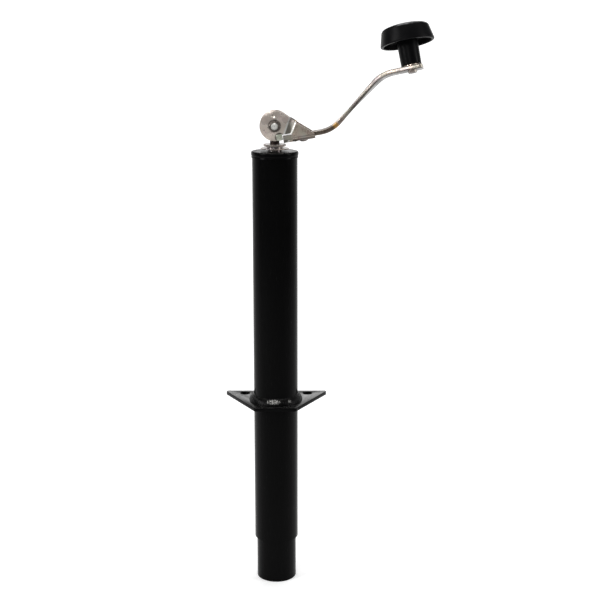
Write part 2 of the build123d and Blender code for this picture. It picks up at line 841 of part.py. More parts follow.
stem_length = stem_showing + stem_in_head
spindle_shank = spindle_washer_thick + stem_length + running
with BuildPart() as knob_spindle:
    with BuildSketch(bar_under):
        Circle(spindle_d / 2)
    extrude(amount=-bar_thick - spindle_shank)
    with BuildSketch(bar_under):
        Circle(spindle_tail_d / 2)
    extrude(amount=spindle_tail, taper=spindle_taper)
    with BuildSketch(bar_under.offset(spindle_tail)):
        Circle(spindle_d / 4)
    extrude(amount=-spindle_tail / 2, taper=spindle_taper, mode=Mode.SUBTRACT)
    with BuildSketch(bar_top.offset(spindle_shank)):
        Circle(spindle_head_d / 2)
    extrude(amount=spindle_head, taper=spindle_taper)
knob_spindle.part.label = "knob_spindle"

with BuildPart() as spindle_washer:
    with BuildSketch(bar_top):
        Circle(spindle_washer_d / 2)
        Circle(spindle_d / 2 + snug, mode=Mode.SUBTRACT)
    extrude(amount=spindle_washer_thick - running)
spindle_washer.part.label = "spindle_washer"

with BuildPart() as knob_stem:
    with BuildSketch(knob_profile):
        with BuildLine():
            Polyline(
                (spindle_d / 2 + running, 0),
                (stem_base_d / 2, 0),
                (stem_top_d / 2, stem_length),
                (spindle_d / 2 + running, stem_length),
                close=True,
            )
        make_face()
    revolve(axis=knob_axis)
    fillet(rims(knob_stem, stem_base_d / 2), stem_edge)
knob_stem.part.label = "knob_stem"

# The head's outline from the rim up: tapered side, rounded crown edge, shallow dome. The boss
# inside grips the stem's top and closes over the spindle's head.
rim_level = stem_showing
crown_level = rim_level + knob_side
dome_level = crown_level + knob_dome
hollow_level = rim_level + knob_hollow
stem_radius = stem_top_d / 2 + snug
pocket_radius = spindle_head_d / 2 + loose
pocket_top = stem_length + spindle_head + running + loose
with BuildPart() as knob_head:
    with BuildSketch(knob_profile):
        with BuildLine():
            Polyline(
                (0, pocket_top),
                (pocket_radius, pocket_top),
                (pocket_radius, stem_length),
                (stem_radius, stem_length),
                (stem_radius, hollow_level),
                (knob_rim_d / 2 - knob_skin, hollow_level),
                (knob_rim_d / 2 - knob_skin, rim_level),
                (knob_rim_d / 2, rim_level),
                (knob_crown_d / 2, crown_level),
            )
            ThreePointArc(
                (knob_crown_d / 2, crown_level),
                (knob_crown_d / 4, dome_level - knob_dome / 4),
                (0, dome_level),
            )
            Line((0, dome_level), (0, pocket_top))
        make_face()
    revolve(axis=knob_axis)
    fillet(rims(knob_head, knob_crown_d / 2), knob_crown_edge)
    fillet(rims(knob_head, knob_rim_d / 2), knob_rim_edge)
knob_head.part.label = "knob_head"

# ---- Files ---------------------------------------------------------------------------------------

PIECES = (
    outer_tube, guide_key, top_cap, bearing_seat, neck_bush, mounting_plate, plate_weld,
    ram_tube, foot_plate, drive_nut, nut_pins,
    upper_race, lower_race, bearing_balls, ball_cage, thrust_collar, collar_pin,
    lead_screw, end_collar, end_pin, neck_spacer, neck_washer, swivel_head, head_pin,
    crank_bracket, crank_bar, bar_rivets, pivot_bolt, pivot_nut, nut_insert, stop_pin,
    knob_spindle, spindle_washer, knob_stem, knob_head,
)
for piece in PIECES:
    export_step(piece.part, f"parts/{piece.part.label}.step")
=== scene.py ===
"""Looks of a trailer tongue jack, laid out as a Blender add-on.

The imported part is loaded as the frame. The painted tubes, the inner works and the plain fasteners
keep their own meshes and take a finish. The mounting plate with its weld, the cap, the stamped
crank with its fasteners and the knob are modelled here over the solids they stand for.
Sizes are in metres, +Z is up the tube and the crank points to +X.
"""

import json
import math

import bpy
from mathutils import Matrix, Vector


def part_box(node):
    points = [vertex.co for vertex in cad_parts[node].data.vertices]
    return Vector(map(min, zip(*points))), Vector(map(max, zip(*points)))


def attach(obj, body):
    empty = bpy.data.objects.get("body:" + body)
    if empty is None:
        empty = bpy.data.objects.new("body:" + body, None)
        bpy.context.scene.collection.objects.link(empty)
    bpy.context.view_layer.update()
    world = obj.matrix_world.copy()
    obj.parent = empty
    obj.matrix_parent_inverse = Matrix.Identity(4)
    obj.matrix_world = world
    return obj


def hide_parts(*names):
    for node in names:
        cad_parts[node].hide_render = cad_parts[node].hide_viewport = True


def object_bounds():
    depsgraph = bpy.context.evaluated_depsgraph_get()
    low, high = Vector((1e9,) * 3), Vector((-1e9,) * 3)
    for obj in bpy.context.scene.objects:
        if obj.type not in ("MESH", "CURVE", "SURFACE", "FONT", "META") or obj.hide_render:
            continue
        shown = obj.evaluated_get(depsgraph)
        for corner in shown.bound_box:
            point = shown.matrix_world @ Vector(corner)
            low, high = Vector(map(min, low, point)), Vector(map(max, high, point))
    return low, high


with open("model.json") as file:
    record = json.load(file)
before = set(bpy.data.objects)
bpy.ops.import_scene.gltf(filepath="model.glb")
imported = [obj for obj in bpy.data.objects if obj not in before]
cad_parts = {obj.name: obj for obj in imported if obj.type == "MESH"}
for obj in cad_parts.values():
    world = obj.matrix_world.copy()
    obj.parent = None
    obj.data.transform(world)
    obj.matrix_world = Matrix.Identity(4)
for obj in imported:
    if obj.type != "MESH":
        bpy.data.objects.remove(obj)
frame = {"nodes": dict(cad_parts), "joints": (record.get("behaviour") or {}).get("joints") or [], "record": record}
cad_low, cad_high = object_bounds()

bl_info = {
    "name": "Trailer Tongue Jack",
    "version": (1, 0, 0),
    "blender": (4, 5, 0),
    "location": "View3D > Sidebar > Jack",
    "description": "Models and finishes the pieces of a trailer tongue jack over its packed frame",
    "category": "Object",
}

joints = {joint["name"]: joint for joint in frame["joints"]}
slot_of = {part["node"]: part["material_slot"] for part in frame["record"]["subparts"]}
pivot = Vector(joints["crank_fold"]["pos_m"])
knob_seat = Vector(joints["knob_spin"]["pos_m"])
knob_up = Vector(joints["knob_spin"]["axis"]).normalized()

ALONG_X, ALONG_Y, ALONG_Z = Vector((1, 0, 0)), Vector((0, 1, 0)), Vector((0, 0, 1))
SNUG = 0.00005  # gap round a CAD piece that keeps its own mesh
TOUCH = 1e-5  # how near a point lies to a plane that it is on
SAME = 2e-6  # how near two points are that are one
OVERLAP = 0.001  # how far a part runs into the one it is united with


# ---- Properties ----


def length(name, description, default):
    """A length in metres, shown in the scene's units."""
    return bpy.props.FloatProperty(
        name=name, description=description, default=default, unit="LENGTH", precision=5
    )


def lengths(name, description, default):
    """Three lengths, such as a place or an outline's corner with its radius."""
    return bpy.props.FloatVectorProperty(
        name=name, description=description, default=default, size=3, unit="LENGTH", precision=5
    )


def angle(name, description, degrees):
    """An angle, given in degrees."""
    return bpy.props.FloatProperty(
        name=name, description=description, default=math.radians(degrees), subtype="ANGLE"
    )


def share(name, description, default):
    """A number from 0 to 1."""
    return bpy.props.FloatProperty(
        name=name, description=description, default=default, min=0, max=1, subtype="FACTOR"
    )


def colour(name, description, default):
    """A linear colour."""
    return bpy.props.FloatVectorProperty(
        name=name, description=description, default=default, size=3, min=0, max=1, subtype="COLOR"
    )


class JackFinishes(bpy.types.PropertyGroup):
    """Colours and gloss of the jack's finishes."""

    paint: colour("Paint", "Black enamel", (0.0022, 0.0022, 0.0023))
    dusty: colour("Dusty paint", "Enamel under a full coat of dust", (0.05, 0.048, 0.045))
    paint_gloss: share("Paint roughness", "Roughness of clean enamel", 0.12)
    paint_dust: share("Paint dust", "Dust on faces that look up", 0.3)
    tube_specular: share("Tube specular", "Reflection on the tubes", 0.04)
    plate_specular: share("Plate specular", "Reflection on the plate", 0.46)
    weld_specular: share("Weld specular", "Reflection on the weld bead", 0.08)
    zinc: colour("Zinc", "Plating where it is clear", (0.6, 0.55, 0.5))
    zinc_blush: colour("Zinc blush", "Pink cast of the plating", (0.55, 0.38, 0.40))
    zinc_straw: colour("Zinc straw", "Yellow cast of the plating", (0.62, 0.50, 0.28))
    zinc_moss: colour("Zinc moss", "Green cast of the plating", (0.36, 0.44, 0.37))
    zinc_roughness: share("Zinc roughness", "Roughness of the plating", 0.26)
    zinc_metal: share("Zinc metal", "How metallic the plating is", 0.72)
    # The next two are painted shade: how far the plating darkens on faces that look down, and the dark colour of
    # all painted shade on the plating.
    film: share("Oil film", "Oil film on the plating's undersides", 0.85)
    shade_tone: colour("Grease", "Grease round the fasteners", (0.03, 0.026, 0.022))
    # The next three are painted light and shade: a lighter painted tone on the bracket's round ends, painted shade
    # on its joggle and on the bar's slope, and the colour of painted highlights on the folds, the weld's glints
    # and the pivot bolt.
    disc: colour("Disc", "Cleaner plating on the bracket's round ends", (0.98, 0.86, 0.78))
    dull: colour("Dull plating", "Plating on the bracket's joggle", (0.08, 0.08, 0.072))
    highlight_tone: colour("Rubbed plating", "Plating on the bracket's folds", (0.85, 0.84, 0.8))
    bar: colour("Bar plating", "Greyer plating of the bar", (0.4, 0.385, 0.38))
    bar_metal: share("Bar metal", "How metallic the bar's plating is", 0.85)
    brown: colour("Heat brown", "Brown tint at the bar's lower bend", (0.13, 0.09, 0.06))
    straw: colour("Heat straw", "Straw tint at the bar's lower bend", (0.75, 0.4, 0.08))
    washer: colour("Washer plating", "Greyer plating of the washers", (0.3, 0.28, 0.3))
    stop: colour("Stop plating", "Pale green plating of the stop pin", (0.8, 0.86, 0.74))
    # Painted shade: the lock nut's plating darkened to stand for its shading.
    nut: colour("Nut plating", "Darkened plating of the lock nut", (0.15, 0.13, 0.115))
    # Painted shade: the swivel head's steel darkened where it sits in shade between the cheeks.
    head_shade_tone: colour("Oiled steel", "Blackened steel of the swivel head", (0.06, 0.045, 0.04))
    plastic: colour("Plastic", "Plastic of the knob", (0.0035, 0.0035, 0.004))
    plastic_roughness: share("Plastic roughness", "Roughness of the knob", 0.36)
    # Painted highlight along the knob's crown.
    crown_highlight: colour("Scuff", "Scuffed plastic along the crown", (0.11, 0.11, 0.115))
    steel: colour("Steel", "Turned steel of the inner works", (0.42, 0.41, 0.40))
    bronze: colour("Bronze", "Bronze of the nut and the cage", (0.55, 0.36, 0.16))
    nylon: colour("Nylon", "Nylon of the lock nut's insert", (0.62, 0.64, 0.60))


class JackPlate(bpy.types.PropertyGroup):
    """Mounting plate, its weld bead and the cap."""

    corner: length("Corner radius", "Radius of the four corners", 0.0032)
    edge: length("Sheared edge", "Rounding of the edges", 0.0005)
    front_half: length("Front half", "Half the width of the short front side", 0.0265)
    ear: length("Ear", "Run from a rounded back corner to the sharp one", 0.0018)
    bolt_circle: length("Bolt circle", "Radius from the tube to the bolt holes", 0.04765)
    bolt_angle: angle("Bolt angle", "Direction from the tube to a bolt hole", 30.0)
    bolt_hole: length("Bolt hole", "Radius of a bolt hole", 0.00635)
    weld_steps: bpy.props.IntProperty(
        name="Weld steps", description="Segments round the weld bead", default=288, min=8
    )
    weld_ripple: length("Weld ripple", "Depth of the weld's ripples", 0.00042)
    cap_bore: length("Cap bore", "Radius of the hole for the bush", 0.00805)
    cap_crown: length("Cap crown", "Width of the crown's fall", 0.003)
    cap_fall: length("Cap fall", "Depth of the crown's fall", 0.0004)
    cap_rounding: length("Cap rounding", "Radius of the bead's edges", 0.0016)
    cap_bead: length("Cap bead", "Height of the bead", 0.0042)
    cap_neck: length("Cap neck", "How far the skirt draws in", 0.0005)
    cap_waist: length("Cap waist", "Height of the waist above the hem", 0.0018)


class JackBracket(bpy.types.PropertyGroup):
    """Folded sheet bracket; its places are from the pivot, along and across the bar's root."""

    tilt: angle("Crank tilt", "Angle of the bar's root above level", 9.0)
    sheet: length("Sheet", "Thickness of the sheet", 0.003)
    cheek: length("Cheek", "From the middle to the inside of a cheek", 0.0058)
    web: length("Web", "From the middle to the inside of a web", 0.0103)
    disc: length("Disc radius", "Radius of the round cheeks", 0.0187)
    fold_at: length("Joggle at", "Where the joggle starts", 0.0162)
    fold_run: length("Joggle run", "Length of the joggle across its folds", 0.0084)
    fold_angle: angle("Joggle angle", "Angle of the folds to the bar's root", 61.75)
    fold_radius: length("Fold radius", "Radius of the joggle's folds", 0.0014)
    shoulder_at: angle("Shoulder at", "Where the disc's rim ends", 51.5)
    shoulder: lengths("Shoulder", "X, Z and radius past the rim's end", (0.0209, 0.0062, 0.008))
    web_top: lengths("Web top", "X, Z and radius of the top edge", (0.0277, -0.0003, 0.006))
    web_tip: lengths("Web tip", "X, Z and radius of the outer end", (0.0478, -0.0169, 0.0012))
    web_left: length("Web side", "X of the channel's inner end", 0.0194)
    floor: length("Floor", "Z of the channel's underside", -0.02265)
    floor_radius: length("Channel radius", "Radius of the channel's folds", 0.004)
    notch_left: length("Notch side", "X of the notch's inner side", 0.0068)
    notch_top: length("Notch top", "Z of the notch's top", -0.0122)
    notch_inner: length("Notch inner radius", "Corner radius at the channel", 0.0015)
    notch_outer: length("Notch outer radius", "Corner radius at the disc", 0.0018)
    rim: length("Rim", "Rounding of the stamped edges", 0.0004)
    dimple_at: length("Dimple height", "Z of the punch mark", 0.0118)
    dimple_radius: length("Dimple radius", "Radius of the punch mark", 0.0026)
    dimple_floor: length("Dimple floor", "Radius of the punch mark's floor", 0.001)
    dimple_depth: length("Dimple depth", "Depth of the punch mark", 0.0009)


class JackBar(bpy.types.PropertyGroup):
    """Flat crank bar, bent twice and twisted between the bends."""

    width: length("Width", "Width of the flat bar", 0.02)
    thick: length("Thickness", "Thickness of the flat bar", 0.0052)
    level: length("Level", "Z of the bar's middle in the bracket", -0.01705)
    root: length("Root", "X of the bar's inner end", 0.008)
    corner: length("Lower corner", "X where the lower bend's straights meet", 0.0684)
    offset: length("Offset", "Height between the straight ends", 0.058)
    slope: angle("Slope", "Angle of the slope to the root", 38.3)
    twist: angle("Twist", "Twist of the slope", 16.0)
    rise: angle("End rise", "Angle of the outer end to the root", 2.5)
    bend: length("Bend radius", "Radius of both bends", 0.04)
    reach: length("Reach", "From the upper corner to the knob", 0.0379)
    overhang: length("Overhang", "From the knob to the bar's end", 0.0138)
    edge: length("Edge", "Rounding of the rolled edges", 0.0007)
    end_corner: length("End corner", "Radius of the outer end's corners", 0.004)


class JackFasteners(bpy.types.PropertyGroup):
    """Pivot bolt and lock nut, stop pin and rivets."""

    flats: length("Across flats", "Width of the hexagons", 0.0127)
    chamfer: angle("Hexagon chamfer", "Slope of the turned-down corners", 29.63)
    bolt: length("Bolt diameter", "Diameter of the pivot bolt", 0.00794)
    bolt_edge: length("Bolt edge", "Rounding of the bolt's edges", 0.00015)
    bolt_end: length("Bolt end", "Chamfer of the bolt's end", 0.0007)
    pitch: length("Thread pitch", "Pitch of the bolt's thread", 0.00106)
    head: length("Bolt head", "Height of the bolt's head", 0.0053)
    nut: length("Nut height", "Height of the nut's hexagon", 0.0064)
    nut_edge: length("Nut edge", "Rounding of the nut's edges", 0.00018)
    nut_turn: angle("Nut turn", "Turn of the nut's hexagon", 15.0)
    crown: length("Nut crown", "Height of the nut's crown", 0.0022)
    crown_radius: length("Crown radius", "Radius of the nut's crown", 0.0056)
    crown_wall: length("Crown wall", "Thickness of the crown's wall", 0.0011)
    crown_edge: length("Crown edge", "Radius of the crown's edge", 0.0009)
    stop_radius: length("Stop radius", "From the pivot to the stop pin", 0.01545)
    stop_angle: angle("Stop angle", "Direction to the stop pin", -66.4)
    stop_head: length("Stop head", "Width of the square head", 0.0078)
    stop_corner: length("Stop corner", "Radius of the head's corners", 0.0013)
    stop_edge: length("Stop edge", "Rounding of the square head's edges", 0.0005)
    stop_rise: length("Stop rise", "Height of the square head", 0.0022)
    stop_shank: length("Stop shank", "Radius of the pin's shank", 0.002)
    large: lengths("Large rivet", "X, radius and height of its heads", (0.033, 0.00565, 0.0028))
    small: lengths("Small rivet", "X, radius and height of its heads", (0.0225, 0.0026, 0.0014))


class JackKnob(bpy.types.PropertyGroup):
    """Mushroom knob and its stem."""

    washer: length("Washer", "Thickness of the washer under the stem", 0.0016)
    stem: length("Stem", "Height of the stem below the head", 0.0262)
    stem_in_head: length("Stem in head", "Height of the stem in the head", 0.012)
    stem_base: length("Stem base", "Radius of the stem at the bar", 0.0126)
    stem_top: length("Stem top", "Radius of the stem at the head", 0.0131)
    stem_edge: length("Stem edge", "Rounding of the stem's foot", 0.0006)
    bore: length("Bore", "Radius of the hole for the spindle", 0.0041)
    rim: length("Rim radius", "Radius of the head at its rim", 0.0338)
    crown: length("Crown radius", "Radius of the head at its crown", 0.029)
    side: length("Side", "Height of the head's side", 0.0203)
    dome: length("Dome", "Rise of the dome over the crown", 0.0046)
    skin: length("Skin", "Thickness of the rim", 0.004)
    hollow: length("Hollow", "Depth of the hollow", 0.009)
    crown_edge: length("Crown edge", "Radius of the crown's edge", 0.005)
    rim_edge: length("Rim edge", "Radius of the rim's edge", 0.0016)


class JackStage(bpy.types.PropertyGroup):
    """Camera, lamps and floor."""

    lens: bpy.props.FloatProperty(
        name="Lens", description="Focal length on a 36 mm sensor", default=75.0, unit="CAMERA"
    )
    camera: lengths("Camera", "Place of the camera", (0.0315, -1.56, 0.5119))
    camera_tilt: angle("Camera tilt", "Angle of the view below level", 13.5)
    floor: colour("Floor", "Colour of the floor and the backdrop", (0.82, 0.82, 0.82))
    glow_near: share("Near glow", "Light the camera sees round the jack", 0.4)
    glow_far: share("Far glow", "Light the camera sees further back", 0.45)
    world: share("World", "Even light from all round", 0.14)


PROPERTIES = {
    "jack_finishes": JackFinishes,
    "jack_plate": JackPlate,
    "jack_bracket": JackBracket,
    "jack_bar": JackBar,
    "jack_fasteners": JackFasteners,
    "jack_knob": JackKnob,
    "jack_stage": JackStage,
}


# ---- Work in edit mode ----


def deselect():
    """Leaves edit mode and deselects every object."""
    if bpy.context.object and bpy.context.object.mode != "OBJECT":
        bpy.ops.object.mode_set(mode="OBJECT")
    bpy.ops.object.select_all(action="DESELECT")


def take(piece):
    """Selects one object and makes it active."""
    deselect()
    piece.select_set(True)
    bpy.context.view_layer.objects.active = piece
    return piece


def edit(piece, kind="VERT", action="SELECT"):
    """Enters edit mode on one object, with all of it selected or with nothing selected."""
    take(piece)
    bpy.ops.object.mode_set(mode="EDIT")
    bpy.ops.mesh.select_mode(type=kind)
    bpy.ops.mesh.select_all(action=action)


def pick(piece, kind, test):
    """Selects, in edit mode, the vertices or edges whose points all pass the test."""
    edit(piece, kind, "DESELECT")
    bpy.ops.object.mode_set(mode="OBJECT")
    mesh = piece.data
    passed = [test(vertex.co) for vertex in mesh.vertices]
    if kind == "VERT":
        chosen = [vertex for vertex in mesh.vertices if passed[vertex.index]]
    else:
        chosen = [edge for edge in mesh.edges if all(passed[i] for i in edge.vertices)]
    if not chosen:
        raise RuntimeError(f"nothing to select on {piece.name}")
    for element in chosen:
        element.select = True
    bpy.ops.object.mode_set(mode="EDIT")


def near(corners):
    """A test for the points that lie at one of the corners."""
    return lambda co: min((co - corner).length for corner in corners) < 2 * TOUCH


def draw(name, points, close=False):
    """A chain of vertices through the points, extruded one from the next, and filled if closed."""
    deselect()
    bpy.ops.mesh.primitive_plane_add(size=0.001, location=points[0])
    piece = bpy.context.object
    piece.name = piece.data.name = name
    bpy.ops.object.transform_apply(location=True, rotation=True, scale=True)
    edit(piece)
    bpy.ops.mesh.merge(type="CENTER")
    here = Vector(points[0])
    for point in points[1:]:
        step = Vector(point) - here
        bpy.ops.mesh.extrude_vertices_move(TRANSFORM_OT_translate={"value": step})
        here = Vector(point)
    bpy.ops.mesh.select_all(action="SELECT")
    if close:
        bpy.ops.mesh.edge_face_add()
    return piece


def extrude(step):
    """Extrudes the selected edges by a step."""
    bpy.ops.mesh.extrude_edges_move(TRANSFORM_OT_translate={"value": step})


def face_outwards():
    """Turns all faces of the piece in edit mode outwards and leaves edit mode."""
    bpy.ops.mesh.select_all(action="SELECT")
    bpy.ops.mesh.normals_make_consistent(inside=False)
    bpy.ops.object.mode_set(mode="OBJECT")


def ring(name, corners):
    """A closed loop of edges through the corners, left selected in edit mode."""
    piece = draw(name, corners, close=True)
    bpy.ops.mesh.delete(type="ONLY_FACE")
    bpy.ops.mesh.select_all(action="SELECT")
    return piece


def slab(name, outline, low, high):
    """A flat piece between two levels, with an (x, y) outline whose last point repeats its first."""
    piece = draw(name, [(x, y, low) for x, y in outline[:-1]], close=True)
    bpy.ops.mesh.extrude_region_move(TRANSFORM_OT_translate={"value": (0, 0, high - low)})
    face_outwards()
    return piece


def rounded(corners, steps=6):
    """The outline through (x, y, radius) corners, with an arc at each corner that has a radius."""
    points = []
    last = len(corners) - 1
    for index, (x, y, radius) in enumerate(corners):
        here = Vector((x, y))
        if radius <= 0 or index in (0, last):
            points.append(here)
            continue
        back = (Vector(corners[index - 1][:2]) - here).normalized()
        onward = (Vector(corners[index + 1][:2]) - here).normalized()
        half = back.angle(onward) / 2
        centre = here + (back + onward).normalized() * radius / math.sin(half)
        start = here + back * radius / math.tan(half) - centre
        sweep = start.angle_signed(here + onward * radius / math.tan(half) - centre)
        for step in range(steps + 1):
            turned = start.copy()
            turned.rotate(Matrix.Rotation(-sweep * step / steps, 2))
            points.append(centre + turned)
    return points


def lathe(name, profile, steps=96):
    """A turned piece round local Z from a profile of (radius, height) points."""
    piece = draw(name, [(radius, 0.0, height) for radius, height in profile])
    bpy.ops.mesh.spin(steps=steps, angle=math.tau, center=(0, 0, 0), axis=ALONG_Z)
    edit(piece)
    bpy.ops.mesh.remove_doubles(threshold=SAME)
    face_outwards()
    return piece


def cylinder(name, radius, low, high, sides=64):
    """A plain cylinder along local Z, kept as a tool for cuts and as a start for hexagons."""
    deselect()
    bpy.ops.mesh.primitive_cylinder_add(
        vertices=sides, radius=radius, depth=high - low, location=(0, 0, (low + high) / 2)
    )
    piece = bpy.context.object
    piece.name = piece.data.name = name
    bpy.ops.object.transform_apply(location=True, rotation=True, scale=True)
    return piece


def put(piece, place):
    """Moves a piece from its local frame to its place and applies that to its mesh."""
    take(piece)
    piece.matrix_world = place @ piece.matrix_world
    bpy.ops.object.transform_apply(location=True, rotation=True, scale=True)
    return piece


def modify(piece, kind, **settings):
    """Applies one modifier to a piece."""
    take(piece)
    modifier = piece.modifiers.new(kind.title(), kind)
    for name, value in settings.items():
        setattr(modifier, name, value)
    bpy.ops.object.modifier_apply(modifier=modifier.name)


def soften(piece, width, segments=3, limit=40.0):
    """Rounds the piece's sharp edges."""
    modify(
        piece, "BEVEL", width=width, segments=segments, limit_method="ANGLE",
        angle_limit=math.radians(limit), use_clamp_overlap=True,
    )


def combine(piece, other, operation):
    """Adds the other piece to this one or cuts it away, and removes the other."""
    modify(piece, "BOOLEAN", operation=operation, solver="EXACT", object=other)
    bpy.data.objects.remove(other)


def join(piece, other):
    """Makes the other piece a loose part of this one."""
    take(piece)
    other.select_set(True)
    bpy.ops.object.join()


def complete(piece, body, finish, replaced, smooth=35.0):
    """Shades a piece, gives it its finish and lets it ride on its body in place of a CAD node."""
    take(piece)
    bpy.ops.object.shade_smooth_by_angle(angle=math.radians(smooth))
    piece.data.materials.clear()
    piece.data.materials.append(bpy.data.materials[finish])
    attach(piece, body)
    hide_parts(replaced)
    deselect()


# ---- Frames along the crank ----


def crank_frame():
    """The crank's own frame: X along the bar's root, Y across it, the pivot at the origin."""
    tilt = bpy.context.scene.jack_bracket.tilt
    return Matrix.Translation(pivot) @ Matrix.Rotation(-tilt, 4, "Y")


def side_frame(side, out):
    """A frame in the crank's own whose Z leaves the side at that distance from the middle."""
    return Matrix.Translation((0, side * out, 0)) @ Matrix.Rotation(math.radians(-90 * side), 4, "X")


def knob_frame():
    """The knob's frame: Z up along its spindle, the origin on top of the bar."""
    across = knob_up.cross(ALONG_X).normalized()
    turn = Matrix((across.cross(knob_up), across, knob_up)).transposed().to_4x4()
    return Matrix.Translation(knob_seat) @ turn


def polar(radius, turn):
    """The point at that radius and turn in the plane of X and Z."""
    return Vector((radius * math.cos(turn), 0, radius * math.sin(turn)))


# ---- Node trees ----


class Nodes:
    """A node tree being built, from sockets and plain values to new sockets."""

    def __init__(self, tree):
        self.tree = tree

    def feed(self, socket, value):
        """Links a socket to an input, or sets the input to a plain value."""
        if isinstance(value, bpy.types.NodeSocket):
            self.tree.links.new(value, socket)
        elif socket.type == "RGBA":
            socket.default_value = (*value, 1.0)
        else:
            socket.default_value = value

    def node(self, kind, inputs, **settings):
        """A node with its settings and its inputs."""
        made = self.tree.nodes.new(kind)
        for name, value in settings.items():
            setattr(made, name, value)
        for key, value in inputs.items():
            self.feed(made.inputs[key], value)
        return made

    def arrange(self, wide=220, tall=260):
        """Lays the nodes out in columns, each to the left of all that it feeds."""
        column = {node.name: 0 for node in self.tree.nodes}
        for _ in self.tree.nodes:
            for link in self.tree.links:
                source, target = link.from_node.name, link.to_node.name
                column[source] = max(column[source], column[target] + 1)
        rows = [0] * (max(column.values()) + 1)
        for node in self.tree.nodes:
            here = column[node.name]
            node.location = (-wide * here, -tall * rows[here])
            rows[here] += 1

    def place(self):
        """The point on the object."""
        return self.node("ShaderNodeTexCoord", {}).outputs["Object"]

    def placed(self, location, rotation):
        """The point on the object in a frame of its own."""
        inputs = {"Vector": self.place(), "Location": location, "Rotation": rotation}
        return self.node("ShaderNodeMapping", inputs, vector_type="TEXTURE").outputs["Vector"]

    def scaled(self, vector, scale):
        """A vector scaled along each axis."""
        return self.node("ShaderNodeMapping", {"Vector": vector, "Scale": scale}).outputs["Vector"]

    def axis(self, vector, name):
        """One axis of a vector."""
        return self.node("ShaderNodeSeparateXYZ", {0: vector}).outputs[name]

    def facing(self):
        """How far the surface looks up, from -1 to 1."""
        return self.axis(self.node("ShaderNodeNewGeometry", {}).outputs["Normal"], "Z")

    def math(self, operation, first, second):
        """The result of a sum on two values."""
        return self.node("ShaderNodeMath", {0: first, 1: second}, operation=operation).outputs[0]

    def times(self, first, second):
        """The product of two values."""
        return self.math("MULTIPLY", first, second)

    def most(self, mask, *others):
        """The greatest of several masks."""
        for other in others:
            mask = self.math("MAXIMUM", mask, other)
        return mask

    def vector(self, operation, output, first, *second):
        """The result of a sum on one or two vectors."""
        inputs = dict(enumerate((first, *second)))
        return self.node("ShaderNodeVectorMath", inputs, operation=operation).outputs[output]

    def noise(self, vector, scale, detail=3.0, roughness=0.55):
        """A noise texture."""
        inputs = {"Vector": vector, "Scale": scale, "Detail": detail, "Roughness": roughness}
        return self.node("ShaderNodeTexNoise", inputs).outputs["Fac"]

    def step(self, value, low, high):
        """A smooth step from 0 at low to 1 at high."""
        inputs = {"Value": value, "From Min": low, "From Max": high}
        return self.node("ShaderNodeMapRange", inputs, interpolation_type="SMOOTHSTEP").outputs["Result"]

    def between(self, value, low, high, edge):
        """A mask that is 1 from low to high and fades over the edge on both sides."""
        return self.times(self.step(value, low - edge, low), self.step(value, high + edge, high))

    def spread(self, factor, low, high):
        """A value that goes from low to high with the factor."""
        inputs = {"Value": factor, "To Min": low, "To Max": high}
        return self.node("ShaderNodeMapRange", inputs).outputs["Result"]

    def use(self, group, **values):
        """The result of a node group with its own values."""
        inputs = {title.title(): value for title, value in values.items()}
        return self.node("ShaderNodeGroup", inputs, node_tree=bpy.data.node_groups[group]).outputs[0]


class Finish(Nodes):
    """A material being built on its Principled shader."""

    def __init__(self, name, metallic, specular=0.5):
        made = bpy.data.materials.new(name)
        made.use_nodes = True
        super().__init__(made.node_tree)
        self.shader = self.tree.nodes["Principled BSDF"]
        self.set("Metallic", metallic)
        self.set("Specular IOR Level", specular)

    def set(self, title, value):
        """Sets an input of the shader."""
        self.feed(self.shader.inputs[title], value)

    def over(self, mask, colour):
        """Lays a colour over the base colour where the mask is 1."""
        base = self.shader.inputs["Base Color"]
        now = base.links[0].from_socket if base.links else base.default_value[:3]
        mixed = self.node("ShaderNodeMix", {0: mask, 6: now, 7: colour}, data_type="RGBA")
        self.feed(base, mixed.outputs[2])

    def bump(self, height, distance, strength):
        """Bumps the surface by a height, with its full distance in metres."""
        inputs = {"Height": height, "Distance": distance, "Strength": strength}
        self.set("Normal", self.node("ShaderNodeBump", inputs).outputs["Normal"])


# ---- Node groups ----


def mottle(nodes, given):
    """Soft patches in two sizes, as a mask."""
    place = nodes.place()
    wide = nodes.noise(place, given["Scale"])
    fine = nodes.noise(place, nodes.times(given["Scale"], given["Fine"]), 4.0)
    return nodes.step(nodes.math("ADD", wide, nodes.times(fine, 0.35)), 0.5, 0.85)


def streaks(nodes, given):
    """Fine drawn lines along X, as a height."""
    turned = nodes.placed((0.0, 0.0, 0.0), given["Turn"])
    return nodes.noise(nodes.scaled(turned, (0.03, 1.0, 1.0)), given["Scale"], 2.0)


def dust(nodes, given):
    """Dust that settles in patches on faces that look up, as a mask."""
    patches = nodes.step(nodes.noise(nodes.place(), 220.0, 5.0), 0.35, 0.75)
    settled = nodes.times(nodes.step(nodes.facing(), 0.35, 1.0), patches)
    return nodes.times(settled, given["Amount"])


def underside_shade(nodes, given):
    """Painted shade that darkens faces that look down, as a mask."""
    return nodes.times(nodes.step(nodes.facing(), -0.05, -0.5), given["Amount"])


def spot(nodes, given):
    """A round spot seen from the front or the back, as a mask that fades past its radius."""
    offset = nodes.vector("SUBTRACT", "Vector", nodes.place(), given["Centre"])
    flat = nodes.vector("MULTIPLY", "Vector", offset, (1.0, 0.0, 1.0))
    past = nodes.math("SUBTRACT", nodes.vector("LENGTH", "Value", flat), given["Radius"])
    return nodes.step(nodes.math("DIVIDE", past, given["Width"]), 1.0, 0.0)


def orange_peel(nodes, given):
    """Orange peel of sprayed enamel with a few specks, as a height."""
    place = nodes.place()
    waves = nodes.noise(place, given["Scale"], 1.0)
    specks = nodes.step(nodes.noise(place, nodes.times(given["Scale"], 9.0), 1.0), 0.72, 0.8)
    return nodes.math("ADD", waves, nodes.times(specks, 0.5))


